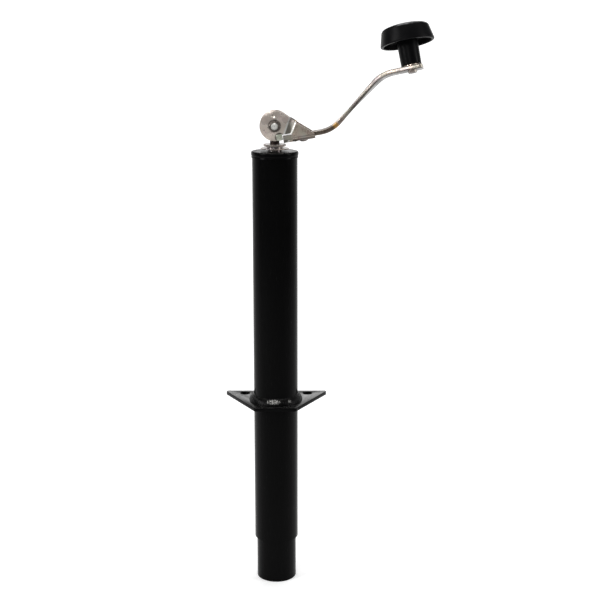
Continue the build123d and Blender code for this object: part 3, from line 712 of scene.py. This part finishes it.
GROUPS = {
    "Mottle": (mottle, "Mask", {"Scale": 60.0, "Fine": 5.0}),
    "Streaks": (streaks, "Height", {"Scale": 900.0, "Turn": (0.0, 0.0, 0.0)}),
    "Dust": (dust, "Mask", {"Amount": 0.3}),
    "Oil Film": (underside_shade, "Mask", {"Amount": 0.8}),
    "Spot": (spot, "Mask", {"Centre": (0.0, 0.0, 0.0), "Radius": 0.0065, "Width": 0.0015}),
    "Orange Peel": (orange_peel, "Height", {"Scale": 350.0}),
}


def make_group(name):
    """Makes one of the node groups: its sockets, its nodes and the link to its output."""
    build, output, inputs = GROUPS[name]
    tree = bpy.data.node_groups.new(name, "ShaderNodeTree")
    for title, value in inputs.items():
        kind = "NodeSocketVector" if isinstance(value, tuple) else "NodeSocketFloat"
        tree.interface.new_socket(title, in_out="INPUT", socket_type=kind).default_value = value
    tree.interface.new_socket(output, in_out="OUTPUT", socket_type="NodeSocketFloat")
    nodes = Nodes(tree)
    given = nodes.node("NodeGroupInput", {}).outputs
    nodes.node("NodeGroupOutput", {output: build(nodes, given)})
    nodes.arrange()


# ---- Finishes ----

FINISH_OF = {
    "black_paint": "tube_enamel",
    "zinc": "zinc_plating",
    "steel": "turned_steel",
    "bronze": "bearing_bronze",
    "nylon": "nylon_insert",
    "black_plastic": "knob_plastic",
}
FINISH_OF_NODE = {
    # The swivel head takes a steel darkened as painted shade.
    "swivel_head": "oiled_steel",
    "neck_washer": "washer_plating",
    "neck_spacer": "washer_plating",
    "neck_bush": "washer_plating",
}

# X and radius of the painted glints along the weld bead's front
WELD_GLINTS = (
    (-0.0098, 0.0004), (-0.0067, 0.0011), (-0.0037, 0.0014), (-0.0007, 0.0015), (0.0022, 0.0012),
    (0.0046, 0.0005), (-0.0215, 0.0005), (0.0175, 0.0003), (0.02, 0.0009),
)


def enamel(finishes, name, specular):
    """Sprayed gloss enamel with orange peel, light dust and slightly dull patches."""
    made = Finish(name, 0.0, specular)
    made.set("Base Color", finishes.paint)
    dusted = made.use("Dust", amount=finishes.paint_dust)
    made.over(dusted, finishes.dusty)
    dull = made.use("Mottle", scale=18.0, fine=6.0)
    gloss = made.spread(dull, finishes.paint_gloss, finishes.paint_gloss + 0.1)
    made.set("Roughness", made.math("ADD", gloss, made.times(dusted, 0.5)))
    made.bump(made.use("Orange Peel", scale=320.0), 0.00003, 0.6)
    return made


def weld_enamel(finishes):
    """Enamel on the weld bead, with painted glints in bright flecks on the front crest."""
    made = enamel(finishes, "weld_enamel", finishes.weld_specular)
    low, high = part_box("plate_weld")
    crest = low.z + (high.z - low.z) * 0.62
    place = made.place()
    spots = [made.use("Spot", centre=(x, 0, crest), radius=radius, width=0.0015) for x, radius in WELD_GLINTS]
    front = made.step(made.axis(place, "Y"), low.y * 0.7, low.y * 0.8)
    flecks = made.noise(made.scaled(place, (0.6, 1.0, 1.5)), 950.0, 4.0, 0.7)
    # Painted highlight: bright glints in flecks on the bead's front crest.
    glints = made.times(made.times(made.most(*spots), front), made.step(flecks, 0.5, 0.57))
    made.over(glints, finishes.highlight_tone)


def plating(finishes, name, blush, tone):
    """Zinc plate whose passivation shows pink, straw and green patches, with painted shade on its downward faces.
    """
    made = Finish(name, finishes.zinc_metal)
    made.set("Base Color", tone)
    for scale, fine, amount, cast in (
        (38.0, 4.0, blush, finishes.zinc_blush),
        (52.0, 3.0, 0.3, finishes.zinc_straw),
        (71.0, 3.0, 0.25, finishes.zinc_moss),
    ):
        patches = made.use("Mottle", scale=scale, fine=fine)
        made.over(made.times(patches, amount), cast)
    # Painted shade: the plating darkens on faces that look down.
    made.over(made.use("Oil Film", amount=finishes.film), finishes.shade_tone)
    smooth, dull = finishes.zinc_roughness - 0.07, finishes.zinc_roughness + 0.12
    made.set("Roughness", made.spread(patches, smooth, dull))
    made.bump(made.use("Streaks", scale=800.0), 0.00004, 0.5)
    return made


def bar_plating(scene):
    """The crank bar's plating, heat tinted brown and straw at its lower bend, with painted shade along its slope.
    """
    finishes, bend = scene.jack_finishes, scene.jack_bar.corner
    made = plating(finishes, "bar_plating", 0.5, finishes.bar)
    made.set("Metallic", finishes.bar_metal)
    along = made.axis(made.place(), "X")
    heated = made.between(along, bend - 0.022, bend + 0.004, 0.006)
    uneven = made.spread(made.use("Mottle", scale=90.0, fine=3.0), 0.6, 0.9)
    made.over(made.times(heated, uneven), finishes.brown)
    # Painted shade along the upper part of the slope.
    slope_shade = made.between(along, bend + 0.03, bend + 0.055, 0.012)
    made.over(made.times(slope_shade, 0.6), finishes.dull)
    hottest = pivot + Vector((bend + 0.0075, 0, 0.001))
    tint = made.use("Spot", centre=hottest, radius=0.0015, width=0.004)
    made.over(made.times(tint, 0.8), finishes.straw)


def bracket_plating(scene):
    """The bracket's plating with painted light and shade: highlights on its folds, a lighter tone on its round
    ends, shade on the joggle, round its nut and stop pin and along its channel and notch.
    """
    finishes, bracket, pins = scene.jack_finishes, scene.jack_bracket, scene.jack_fasteners
    made = plating(finishes, "bracket_plating", 0.9, finishes.zinc)

    joggle = crank_frame() @ Vector((bracket.fold_at, 0, 0))
    turn = math.pi / 2 - bracket.fold_angle - bracket.tilt
    across = made.axis(made.placed(joggle, (0.0, turn, 0.0)), "X")
    run, half = bracket.fold_run, bracket.fold_radius / 2
    # Painted light and shade across the joggle: lighter on the disc side, shade on the joggle's face, highlights
    # on its two folds.
    made.over(made.times(made.step(across, 0.0, -half), 0.5), finishes.disc)
    made.over(made.times(made.between(across, half, run - half, half), 0.75), finishes.dull)
    first = made.between(across, -half, half, half)
    second = made.between(across, run - half, run + half, half)
    made.over(made.times(made.most(first, second), 0.85), finishes.highlight_tone)

    # Painted shade: dark rings round the lock nut and the stop pin's head, and dark lines along the channel's
    # folds and the notch's top edge.
    stop = pivot + polar(pins.stop_radius, pins.stop_angle)
    nut_ring = made.use("Spot", centre=pivot, radius=pins.flats / 2 + 0.0006, width=0.0017)
    stop_ring = made.use("Spot", centre=stop, radius=pins.stop_head / 2 + 0.0012, width=0.0014)
    place = made.placed(pivot, (0.0, -bracket.tilt, 0.0))
    along, level = made.axis(place, "X"), made.axis(place, "Z")
    bend = bracket.floor + bracket.floor_radius
    upper = made.between(level, bend + 0.0009, bend + 0.0014, 0.0004)
    lower = made.between(level, bend - 0.0012, bend - 0.0008, 0.0004)
    channel = made.step(along, bracket.web_left - 0.0004, bracket.web_left + 0.0004)
    brim = made.between(level, bracket.notch_top - 0.0004, bracket.notch_top + 0.0005, 0.0004)
    notch = made.between(along, bracket.notch_left, bracket.web_left - 0.0009, 0.0006)
    lines = made.most(made.times(made.most(upper, lower), channel), made.times(brim, notch))
    shade_mask = made.most(nut_ring, stop_ring, made.times(lines, 0.7))
    made.over(made.times(shade_mask, 0.85), finishes.shade_tone)


def metal(name, base, rough, fine, metallic=1.0):
    """Turned metal with a thin uneven film of oil."""
    made = Finish(name, metallic)
    made.set("Base Color", base)
    film = made.use("Mottle", scale=90.0, fine=4.0)
    made.over(made.times(film, 0.6), [channel * 0.45 for channel in base])
    made.set("Roughness", made.spread(film, rough, rough + 0.18))
    made.bump(made.use("Streaks", scale=fine, turn=(0.0, math.pi / 2, 0.0)), 0.00003, 0.5)


def moulded(name, base, rough, grain, specular=0.5):
    """Moulded plastic with a fine spark-eroded grain and slightly shiny patches."""
    made = Finish(name, 0.0, specular)
    made.set("Base Color", base)
    made.over(made.use("Dust", amount=0.18), [min(1.0, channel * 2 + 0.02) for channel in base])
    worn = made.use("Mottle", scale=30.0, fine=7.0)
    made.set("Roughness", made.spread(worn, rough + 0.06, rough - 0.06))
    made.bump(made.use("Orange Peel", scale=grain), 0.00002, 0.6)
    return made


def knob_plastic(scene):
    """The knob's plastic, with a painted highlight in grey patches along the crown's edge."""
    finishes, knob = scene.jack_finishes, scene.jack_knob
    made = moulded("knob_plastic", finishes.plastic, finishes.plastic_roughness, 1800.0, 0.06)
    seat = knob_frame()
    height = made.axis(made.placed(seat.to_translation(), seat.to_euler()), "Z")
    crown = knob.washer + knob.stem + knob.side
    # Painted highlight in patches along the crown's edge.
    edge = made.between(height, crown - 0.0012, crown + 0.0012, 0.0012)
    patches = made.step(made.noise(made.place(), 60.0), 0.42, 0.6)
    made.over(made.times(edge, patches), finishes.crown_highlight)


class JACK_OT_finishes(bpy.types.Operator):
    """Make the jack's finishes and give the CAD nodes theirs"""

    bl_idname = "jack.finishes"
    bl_label = "Finishes"

    def execute(self, context):
        finishes = context.scene.jack_finishes
        for name in GROUPS:
            make_group(name)
        enamel(finishes, "tube_enamel", finishes.tube_specular)
        enamel(finishes, "plate_enamel", finishes.plate_specular)
        weld_enamel(finishes)
        plating(finishes, "zinc_plating", 0.9, finishes.zinc)
        plating(finishes, "washer_plating", 0.4, finishes.washer)
        plating(finishes, "stop_plating", 0.1, finishes.stop)
        bracket_plating(context.scene)
        bar_plating(context.scene)
        metal("turned_steel", finishes.steel, 0.28, 1500.0)
        # Painted shade: the swivel head's darkened steel.
        metal("oiled_steel", finishes.head_shade_tone, 0.3, 1500.0)
        # Painted shade: the lock nut's darkened plating.
        metal("nut_plating", finishes.nut, 0.22, 900.0)
        # Painted light: the pivot bolt takes the highlight colour.
        metal("bolt_plating", finishes.highlight_tone, 0.2, 900.0, 0.35)
        metal("bearing_bronze", finishes.bronze, 0.32, 1200.0)
        moulded("nylon_insert", finishes.nylon, 0.45, 1500.0)
        knob_plastic(context.scene)
        for material in bpy.data.materials:
            if material.use_nodes:
                Nodes(material.node_tree).arrange()
        for name, piece in frame["nodes"].items():
            finish = FINISH_OF_NODE.get(name, FINISH_OF[slot_of[name]])
            piece.data.materials.clear()
            piece.data.materials.append(bpy.data.materials[finish])
        return {"FINISHED"}


# ---- Mounting plate, weld and cap ----

# Share of the weld bead's reach and share of its height, from its foot up to its top
BEAD = ((1.0, 0.0), (0.933, 0.2), (0.78, 0.45), (0.55, 0.66), (0.3, 0.84), (0.1, 0.96), (0.0, 1.0))


class JACK_OT_plate(bpy.types.Operator):
    """Model the triangular mounting plate with its bolt holes"""

    bl_idname = "jack.plate"
    bl_label = "Mounting plate"

    def execute(self, context):
        plate = context.scene.jack_plate
        low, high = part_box("mounting_plate")
        outline = rounded(
            [
                (0.0, high.y, 0.0),
                (low.x - plate.ear, high.y, plate.corner),
                (-plate.front_half, low.y, plate.corner),
                (plate.front_half, low.y, plate.corner),
                (high.x + plate.ear, high.y, plate.corner),
                (0.0, high.y, 0.0),
            ]
        )
        piece = slab("plate_pressing", outline, low.z, high.z)
        past = 10 * OVERLAP
        holes = [(0.0, 0.0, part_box("outer_tube")[1].x + SNUG)]
        for turn in (math.pi - plate.bolt_angle, plate.bolt_angle):
            place = polar(plate.bolt_circle, turn)
            holes.append((place.x, place.z, plate.bolt_hole))
        for x, y, radius in holes:
            cutter = cylinder("cutter", radius, low.z - past, high.z + past, 96)
            combine(piece, put(cutter, Matrix.Translation((x, y, 0))), "DIFFERENCE")
        soften(piece, plate.edge, 3, 50.0)
        complete(piece, "housing", "plate_enamel", "mounting_plate")
        piece.data.materials.append(bpy.data.materials["tube_enamel"])
        for face in piece.data.polygons:
            if abs(face.normal.z) < 0.8:
                face.material_index = 1
        return {"FINISHED"}


class JACK_OT_weld(bpy.types.Operator):
    """Model the rippled weld bead between the tube and the mounting plate"""

    bl_idname = "jack.weld"
    bl_label = "Weld bead"

    def execute(self, context):
        plate = context.scene.jack_plate
        low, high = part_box("plate_weld")
        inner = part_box("outer_tube")[1].x + SNUG
        reach, height = high.x - inner, high.z - low.z
        bead = [(inner + reach * out, low.z + height * up) for out, up in BEAD]
        steps = plate.weld_steps
        piece = lathe("weld_bead", [(inner, low.z), *bead, (inner, low.z)], steps)

        def hollow(co):
            """True on every fourth section round the bead, where its face is free."""
            free = math.hypot(co.x, co.y) > inner + 6 * SNUG and co.z > low.z + 6 * SNUG
            return free and round(math.atan2(co.y, co.x) / math.tau * steps) % 4 == 0

        pick(piece, "VERT", hollow)
        bpy.ops.transform.shrink_fatten(value=-plate.weld_ripple, use_even_offset=False)
        complete(piece, "housing", "weld_enamel", "plate_weld", 60.0)
        return {"FINISHED"}


class JACK_OT_cap(bpy.types.Operator):
    """Model the pressed cap over the top of the tube"""

    bl_idname = "jack.cap"
    bl_label = "Cap"

    def execute(self, context):
        plate = context.scene.jack_plate
        low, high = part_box("top_cap")
        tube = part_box("outer_tube")[1]
        crown_radius, waist_radius, hem_radius = 0.004, 0.001, 0.0003
        inside, under = tube.x + 2 * SNUG, tube.z + 2 * TOUCH
        profile = rounded(
            [
                (plate.cap_bore, high.z, 0.0),
                (high.x - plate.cap_crown, high.z, crown_radius),
                (high.x, high.z - plate.cap_fall, plate.cap_rounding),
                (high.x, high.z - plate.cap_bead, plate.cap_rounding),
                (high.x - plate.cap_neck, low.z + plate.cap_waist, waist_radius),
                (high.x - 2 * SNUG, low.z, hem_radius),
                (inside, low.z, 0.0),
                (inside, under, 0.0),
                (plate.cap_bore, under, 0.0),
                (plate.cap_bore, high.z, 0.0),
            ]
        )
        complete(lathe("cap_pressing", profile, 128), "housing", "tube_enamel", "top_cap", 40.0)
        return {"FINISHED"}


# ---- Crank ----


def bracket_outline(bracket):
    """The cheek and web unfolded to one flat sheet: the disc, then the shoulder, channel and notch."""
    start, steps = math.acos(bracket.notch_left / bracket.disc), 60
    sweep = math.tau - start - bracket.shoulder_at
    disc = [polar(bracket.disc, -start - sweep * step / steps).xz for step in range(steps + 1)]
    rest = rounded(
        [
            (*disc[-1], 0.0),
            bracket.shoulder,
            bracket.web_top,
            bracket.web_tip,
            (bracket.web_tip[0], bracket.floor, 0.0),
            (bracket.web_left, bracket.floor, 0.0),
            (bracket.web_left, bracket.notch_top, bracket.notch_inner),
            (bracket.notch_left, bracket.notch_top, bracket.notch_outer),
            (*disc[0], 0.0),
        ]
    )
    return [*disc, *rest[1:-1]]


class JACK_OT_bracket(bpy.types.Operator):
    """Model the folded bracket from one sheet, with its joggles and channel"""

    bl_idname = "jack.bracket"
    bl_label = "Crank bracket"

    def execute(self, context):
        bracket = context.scene.jack_bracket
        cheek, web = bracket.cheek + bracket.sheet, bracket.web + bracket.sheet
        outline = [(x, -cheek, z) for x, z in bracket_outline(bracket)]
        piece = draw("bracket_sheet", outline, close=True)
        across = Vector((math.sin(bracket.fold_angle), 0, -math.cos(bracket.fold_angle)))
        first = ALONG_X * bracket.fold_at
        second = first + across * bracket.fold_run
        for fold in (first, second):
            edit(piece)
            bpy.ops.mesh.bisect(plane_co=fold, plane_no=across, threshold=1e-7)
        pick(piece, "VERT", lambda co: (co - second).dot(across) > -TOUCH)
        bpy.ops.transform.translate(value=(0, cheek - web, 0))

        foot = bracket.floor + TOUCH
        pick(piece, "EDGE", lambda co: co.z < foot)
        extrude((0, web, 0))
        pick(piece, "EDGE", lambda co: co.z < foot and co.y < TOUCH - web)
        bpy.ops.mesh.bevel(offset=bracket.floor_radius, segments=6, affect="EDGES")
        left, flat = bracket.web_left + TOUCH, bracket.floor_radius - web - TOUCH
        pick(piece, "EDGE", lambda co: co.z < foot and co.x < left and co.y > flat)
        tongue = context.scene.jack_bar.root - bracket.web_left
        extrude((tongue, 0, 0))
        for fold in (first, second):
            pick(
                piece, "EDGE",
                lambda co, fold=fold: abs((co - fold).dot(across)) < TOUCH and co.y < -bracket.sheet,
            )
            bpy.ops.mesh.bevel(offset=bracket.fold_radius, segments=4, affect="EDGES")

        modify(piece, "MIRROR", use_axis=(False, True, False), merge_threshold=TOUCH)
        edit(piece)
        bpy.ops.mesh.remove_doubles(threshold=SAME)
        face_outwards()
        if min(piece.data.polygons, key=lambda face: face.center.z).normal.z > 0:
            edit(piece)
            bpy.ops.mesh.flip_normals()
        modify(piece, "SOLIDIFY", thickness=bracket.sheet, offset=-1.0, use_even_offset=True)
        soften(piece, bracket.rim, 2, 50.0)

        top, bottom = 4 * SNUG, -bracket.dimple_depth
        dimple = [(0, bottom), (bracket.dimple_floor, bottom), (bracket.dimple_radius, top), (0, top)]
        for side in (-1, 1):
            place = Matrix.Translation((0, 0, bracket.dimple_at)) @ side_frame(side, cheek)
            combine(piece, put(lathe("cutter", dimple, 32), place), "DIFFERENCE")
        put(piece, crank_frame())
        complete(piece, "crank", "bracket_plating", "crank_bracket", 30.0)
        return {"FINISHED"}


class JACK_OT_bar(bpy.types.Operator):
    """Model the flat crank bar with its two bends and its twist"""

    bl_idname = "jack.bar"
    bl_label = "Crank bar"

    def execute(self, context):
        bar = context.scene.jack_bar
        side, half = bar.width / 2, bar.thick / 2

        def section(centre, wide, tall):
            """The four corners of the bar's section."""
            signs = ((-1, -1), (1, -1), (1, 1), (-1, 1))
            return [centre + wide * side * a + tall * half * b for a, b in signs]

        tangent = bar.bend * math.tan(bar.slope / 2)
        slope = polar(1, bar.slope)
        lower = Vector((bar.corner, 0, bar.level))
        upper = lower + Vector((bar.offset / math.tan(bar.slope), 0, bar.offset))
        slope_start, slope_end = lower + slope * tangent, upper - slope * tangent
        across = Matrix.Rotation(-bar.twist, 3, slope) @ ALONG_Y
        normal = slope.cross(across)
        turn = bar.slope - bar.rise
        turned = Matrix.Rotation(turn, 3, across)
        outward = turned @ slope * (bar.reach - tangent + bar.overhang)
        tip = slope_end - normal * bar.bend + turned @ (normal * bar.bend) + outward
        start = Vector((bar.root, 0, bar.level))
        bend_start = lower - ALONG_X * tangent
        root_end = section(start, ALONG_Y, ALONG_Z)
        tip_end = section(tip, across, turned @ normal)
        slope_ends = section(slope_start, ALONG_Y, slope.cross(ALONG_Y))
        slope_ends += section(slope_end, across, normal)

        piece = ring("bar_forging", root_end)
        extrude(bend_start - start)
        bpy.ops.mesh.spin(
            steps=10, angle=bar.slope, center=bend_start + ALONG_Z * bar.bend, axis=ALONG_Y
        )
        outer = ring("bar_end", slope_ends[4:])
        bpy.ops.mesh.spin(steps=10, angle=-turn, center=slope_end - normal * bar.bend, axis=across)
        extrude(outward)
        join(piece, outer)
        pick(piece, "EDGE", near(slope_ends))
        bpy.ops.mesh.bridge_edge_loops(number_cuts=10, interpolation="LINEAR")
        for corners in (root_end, tip_end):
            pick(piece, "EDGE", near(corners))
            bpy.ops.mesh.edge_face_add()
        face_outwards()
        for corners in (tip_end[0::3], tip_end[1:3]):
            pick(piece, "EDGE", near(corners))
            bpy.ops.mesh.bevel(offset=bar.end_corner, segments=8, affect="EDGES")
        soften(piece, bar.edge, 3, 50.0)
        put(piece, crank_frame())
        complete(piece, "crank", "bar_plating", "crank_bar", 30.0)
        return {"FINISHED"}


# ---- Crank fasteners ----

ARC = [math.radians(90 * step / 6) for step in range(7)]  # turns from a head's crest to its rim
THREAD = ((0.1, 0.0), (0.5, 0.55), (0.9, 0.0))  # shares of the pitch along the bolt and into it
# Radius and level of points on the stop pin's riveted tail, from the cheek's face outwards
TAIL = ((0.00325, 0.0001), (0.0031, -0.0005), (0.0026, -0.001), (0.0016, -0.0013), (0, -0.0014))


def hexagon(name, pins, height):
    """A hexagon along local Z whose top corners are turned down to a cone."""
    flats = pins.flats
    piece = cylinder(name, flats / math.sqrt(3), 0.0, height, 6)
    face = flats / 2 - 6 * SNUG
    fall = (flats - face) * math.tan(pins.chamfer)
    blank = [(0, -OVERLAP), (flats, -OVERLAP), (flats, height - fall), (face, height), (0, height)]
    combine(piece, lathe("blank", blank, 72), "INTERSECT")
    return piece


def lock_nut(pins, place):
    """The pivot bolt's lock nut, with the round crown that holds its nylon insert."""
    piece = hexagon("lock_nut", pins, pins.nut)
    base, seat, top = pins.nut - OVERLAP, pins.nut + 4 * SNUG, pins.nut + pins.crown
    inside = pins.crown_radius - pins.crown_wall
    crown = rounded(
        [
            (0, base, 0), (pins.crown_radius, base, 0), (pins.crown_radius, top, pins.crown_edge),
            (inside, top, 0), (inside, seat, 0), (0, seat, 0),
        ]
    )
    combine(piece, lathe("crown", crown, 64), "UNION")
    bore = cylinder("cutter", pins.bolt / 2 + 2 * TOUCH, -10 * OVERLAP, 30 * OVERLAP)
    combine(piece, bore, "DIFFERENCE")
    soften(piece, pins.nut_edge, 2, 30.0)
    put(piece, place @ Matrix.Rotation(pins.nut_turn, 4, "Z"))
    complete(piece, "crank", "nut_plating", "pivot_nut", 25.0)


def hinge_bolt(pins, place, through):
    """The pivot bolt: its head on the far cheek, and its thread past the nut."""
    radius, pitch = pins.bolt / 2, pins.pitch
    reach = -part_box("pivot_bolt")[0].y - through / 2
    level = pins.nut + pins.crown - OVERLAP / 2
    profile = [(0, -through), (radius, -through), (radius, level)]
    while level + pitch < reach - 8 * SNUG:
        profile += [(radius - pitch * into, level + pitch * along) for along, into in THREAD]
        level += pitch
    profile += [(radius - pins.bolt_end, reach), (0, reach)]
    piece = lathe("hinge_bolt", profile, 64)
    head = hexagon("head", pins, pins.head)
    put(head, Matrix.Translation((0, 0, -through)) @ Matrix.Rotation(math.pi, 4, "X"))
    combine(piece, head, "UNION")
    soften(piece, pins.bolt_edge, 2, 30.0)
    put(piece, place)
    complete(piece, "crank", "bolt_plating", "pivot_bolt", 25.0)


def stop_rivet(pins, place, through):
    """The stop pin: its square head, its shank through both cheeks and its riveted tail."""
    half, radius = pins.stop_head / 2, pins.stop_corner
    outline = rounded(
        [
            (0, -half, 0), (half, -half, radius), (half, half, radius),
            (-half, half, radius), (-half, -half, radius), (0, -half, 0),
        ],
        4,
    )
    piece = slab("stop_rivet", outline, 0.0, pins.stop_rise)
    soften(piece, pins.stop_edge, 3, 60.0)
    combine(piece, cylinder("shank", pins.stop_shank, -through, OVERLAP, 32), "UNION")
    tail = lathe("tail", [(0, TAIL[0][1]), *TAIL], 32)
    combine(piece, put(tail, Matrix.Translation((0, 0, -through))), "UNION")
    put(piece, place)
    complete(piece, "crank", "stop_plating", "stop_pin", 35.0)


def bar_rivet(name, x, radius, height, under, over):
    """A rivet through the channel's floor and the bar, with a head below and a head above."""
    profile = [(radius * math.sin(turn), under - height * math.cos(turn) ** 0.8) for turn in ARC]
    profile += [(radius / 2, under), (radius / 2, over)]
    profile += [(radius * math.cos(turn), over + height * math.sin(turn) ** 1.2) for turn in ARC]
    return put(lathe(name, profile, 48), Matrix.Translation((x, 0, 0)))


class JACK_OT_fasteners(bpy.types.Operator):
    """Model the pivot bolt with its lock nut, the stop pin and the rivets"""

    bl_idname = "jack.fasteners"
    bl_label = "Crank fasteners"

    def execute(self, context):
        scene = context.scene
        pins, bracket, bar = scene.jack_fasteners, scene.jack_bracket, scene.jack_bar
        cheek = bracket.cheek + bracket.sheet
        crank, front = crank_frame(), side_frame(-1, cheek)
        lock_nut(pins, crank @ front)
        hinge_bolt(pins, crank @ front, 2 * cheek)
        stop = Matrix.Translation(polar(pins.stop_radius, pins.stop_angle - bracket.tilt))
        stop_rivet(pins, crank @ stop @ front, 2 * cheek)

        levels = (bracket.floor, bar.level + bar.thick / 2)
        rivets = bar_rivet("bar_rivet_pair", *pins.large, *levels)
        join(rivets, bar_rivet("small", *pins.small, *levels))
        put(rivets, crank)
        complete(rivets, "crank", "zinc_plating", "bar_rivets", 40.0)
        return {"FINISHED"}


# ---- Knob ----


class JACK_OT_knob(bpy.types.Operator):
    """Model the knob's moulded head and stem"""

    bl_idname = "jack.knob"
    bl_label = "Knob"

    def execute(self, context):
        knob = context.scene.jack_knob
        place = knob_frame() @ Matrix.Translation((0, 0, knob.washer))
        stem_height = knob.stem + knob.stem_in_head
        stem = rounded(
            [
                (knob.bore, 0, 0),
                (knob.stem_base, 0, knob.stem_edge),
                (knob.stem_top, stem_height, 0),
                (knob.bore, stem_height, 0),
                (knob.bore, 0, 0),
            ]
        )
        piece = put(lathe("stem_moulding", stem), place)
        complete(piece, "knob", "knob_plastic", "knob_stem", 40.0)

        rim, crown, ceiling = knob.stem, knob.stem + knob.side, knob.stem + knob.hollow
        collar, inside = knob.stem_top + SNUG, knob.rim - knob.skin
        collar_radius, ceiling_radius, lip_radius = 0.002, 0.003, 0.0008
        steps = 14
        shares = [step / steps for step in range(4, steps)]
        dome = [(knob.crown * (1 - out), crown + knob.dome * (1 - (1 - out) ** 2)) for out in shares]
        edge = rounded(
            [
                (collar, stem_height, 0),
                (collar, ceiling, collar_radius),
                (inside, ceiling, ceiling_radius),
                (inside, rim, lip_radius),
                (knob.rim, rim, knob.rim_edge),
                (knob.crown, crown, knob.crown_edge),
                (*dome[0], 0),
            ],
            8,
        )
        profile = [(0.0, stem_height), *edge[:-1], *dome, (0.0, crown + knob.dome)]
        piece = put(lathe("head_moulding", profile, 128), place)
        complete(piece, "knob", "knob_plastic", "knob_head", 50.0)
        return {"FINISHED"}


# ---- Stage ----

# Name, place, target, size and power of each lamp
LAMPS = (
    ("lamp_left", (-1.3, -0.7, 1.0), (0, 0, 0.1), (0.5, 1.2), 16.0),
    ("lamp_right", (1.5, -0.4, 0.8), (0, 0, 0.1), (0.4, 1.2), 8.0),
    ("lamp_top", (0.1, 0.5, 1.9), (0, 0.3, 0), (1.6, 1.0), 26.0),
    ("lamp_weld", (0.0, -0.4, 1.8), (0, 0, 0), (0.35, 0.2), 3.5),
    ("lamp_front", (-0.5, -1.7, 1.1), (0, 0, 0.3), (0.5, 0.4), 5.0),
)


def lamp(name, place, target, size, power):
    """A soft square lamp that faces the target."""
    light = bpy.data.lights.new(name, "AREA")
    light.shape = "RECTANGLE"
    light.size, light.size_y = size
    light.energy = power
    holder = bpy.data.objects.new(name, light)
    bpy.context.scene.collection.objects.link(holder)
    holder.location = place
    holder.rotation_euler = (Vector(target) - Vector(place)).to_track_quat("-Z", "Y").to_euler()


def floor_material(stage):
    """Pale floor that keeps the jack's shadow and shows brighter to the camera than it is lit."""
    made = Finish("floor", 0.0, 0.2)
    made.set("Base Color", stage.floor)
    made.set("Roughness", 0.9)
    rays = made.node("ShaderNodeLightPath", {}).outputs
    seen = made.most(rays["Is Camera Ray"], rays["Is Glossy Ray"], rays["Is Transmission Ray"])
    place = made.place()
    depth, height = made.axis(place, "Y"), made.axis(place, "Z")
    near_glow = made.times(made.step(depth, -0.45, 0.05), stage.glow_near)
    far_glow = made.times(made.step(depth, 0.2, 2.4), stage.glow_far)
    glow = made.times(made.math("ADD", near_glow, far_glow), made.step(height, 1.5, 0.9))
    light = made.node("ShaderNodeEmission", {"Strength": made.times(seen, glow)})
    both = made.node("ShaderNodeAddShader", {0: made.shader.outputs[0], 1: light.outputs[0]})
    made.feed(made.tree.nodes["Material Output"].inputs["Surface"], both.outputs[0])
    made.arrange()


class JACK_OT_stage(bpy.types.Operator):
    """Set up the floor with its backdrop, the lamps, the world and the camera"""

    bl_idname = "jack.stage"
    bl_label = "Stage"

    def execute(self, context):
        scene, stage = context.scene, context.scene.jack_stage
        level, half, back, sweep, wall = cad_low.z, 6.0, 3.0, 0.8, 4.0
        line = rounded(
            [
                (-half, level, 0),
                (back - sweep, level, sweep),
                (back, level + sweep, sweep),
                (back, level + wall, 0),
            ],
            12,
        )
        floor = draw("floor", [(-half, y, z) for y, z in line])
        extrude((2 * half, 0, 0))
        edit(floor)
        bpy.ops.mesh.remove_doubles(threshold=TOUCH)
        bpy.ops.object.mode_set(mode="OBJECT")
        bpy.ops.object.shade_smooth_by_angle(angle=math.radians(40))
        floor_material(stage)
        floor.data.materials.append(bpy.data.materials["floor"])

        scene.world = bpy.data.worlds.new("studio")
        scene.world.use_nodes = True
        sky = scene.world.node_tree.nodes["Background"]
        sky.inputs["Color"].default_value = (1, 1, 1, 1)
        sky.inputs["Strength"].default_value = stage.world
        for values in LAMPS:
            lamp(*values)

        camera = bpy.data.objects.new("camera", bpy.data.cameras.new("camera"))
        scene.collection.objects.link(camera)
        camera.location = stage.camera
        camera.rotation_euler = (math.pi / 2 - stage.camera_tilt, 0, 0)
        camera.data.lens = stage.lens
        camera.data.sensor_width = 36.0
        scene.camera = camera
        scene.view_settings.view_transform = "Standard"
        return {"FINISHED"}


# ---- Add-on ----

OPERATORS = (
    JACK_OT_finishes,
    JACK_OT_plate,
    JACK_OT_weld,
    JACK_OT_cap,
    JACK_OT_bracket,
    JACK_OT_bar,
    JACK_OT_fasteners,
    JACK_OT_knob,
    JACK_OT_stage,
)


class JACK_PT_panel(bpy.types.Panel):
    """The jack's operators, in the order in which they run"""

    bl_idname = "JACK_PT_panel"
    bl_label = "Tongue jack"
    bl_space_type = "VIEW_3D"
    bl_region_type = "UI"
    bl_category = "Jack"

    def draw(self, context):
        for operator in OPERATORS:
            self.layout.operator(operator.bl_idname)


CLASSES = (*PROPERTIES.values(), *OPERATORS, JACK_PT_panel)


def register():
    """Registers the classes and gives the scene its properties."""
    for item in CLASSES:
        bpy.utils.register_class(item)
    for name, kind in PROPERTIES.items():
        setattr(bpy.types.Scene, name, bpy.props.PointerProperty(type=kind))


def unregister():
    """Removes the scene's properties and the classes."""
    for name in PROPERTIES:
        delattr(bpy.types.Scene, name)
    for item in reversed(CLASSES):
        bpy.utils.unregister_class(item)


def main():
    """Runs the operators in order."""
    register()
    bpy.ops.jack.finishes()
    bpy.ops.jack.plate()
    bpy.ops.jack.weld()
    bpy.ops.jack.cap()
    bpy.ops.jack.bracket()
    bpy.ops.jack.bar()
    bpy.ops.jack.fasteners()
    bpy.ops.jack.knob()
    bpy.ops.jack.stage()


if __name__ == "__main__":
    main()
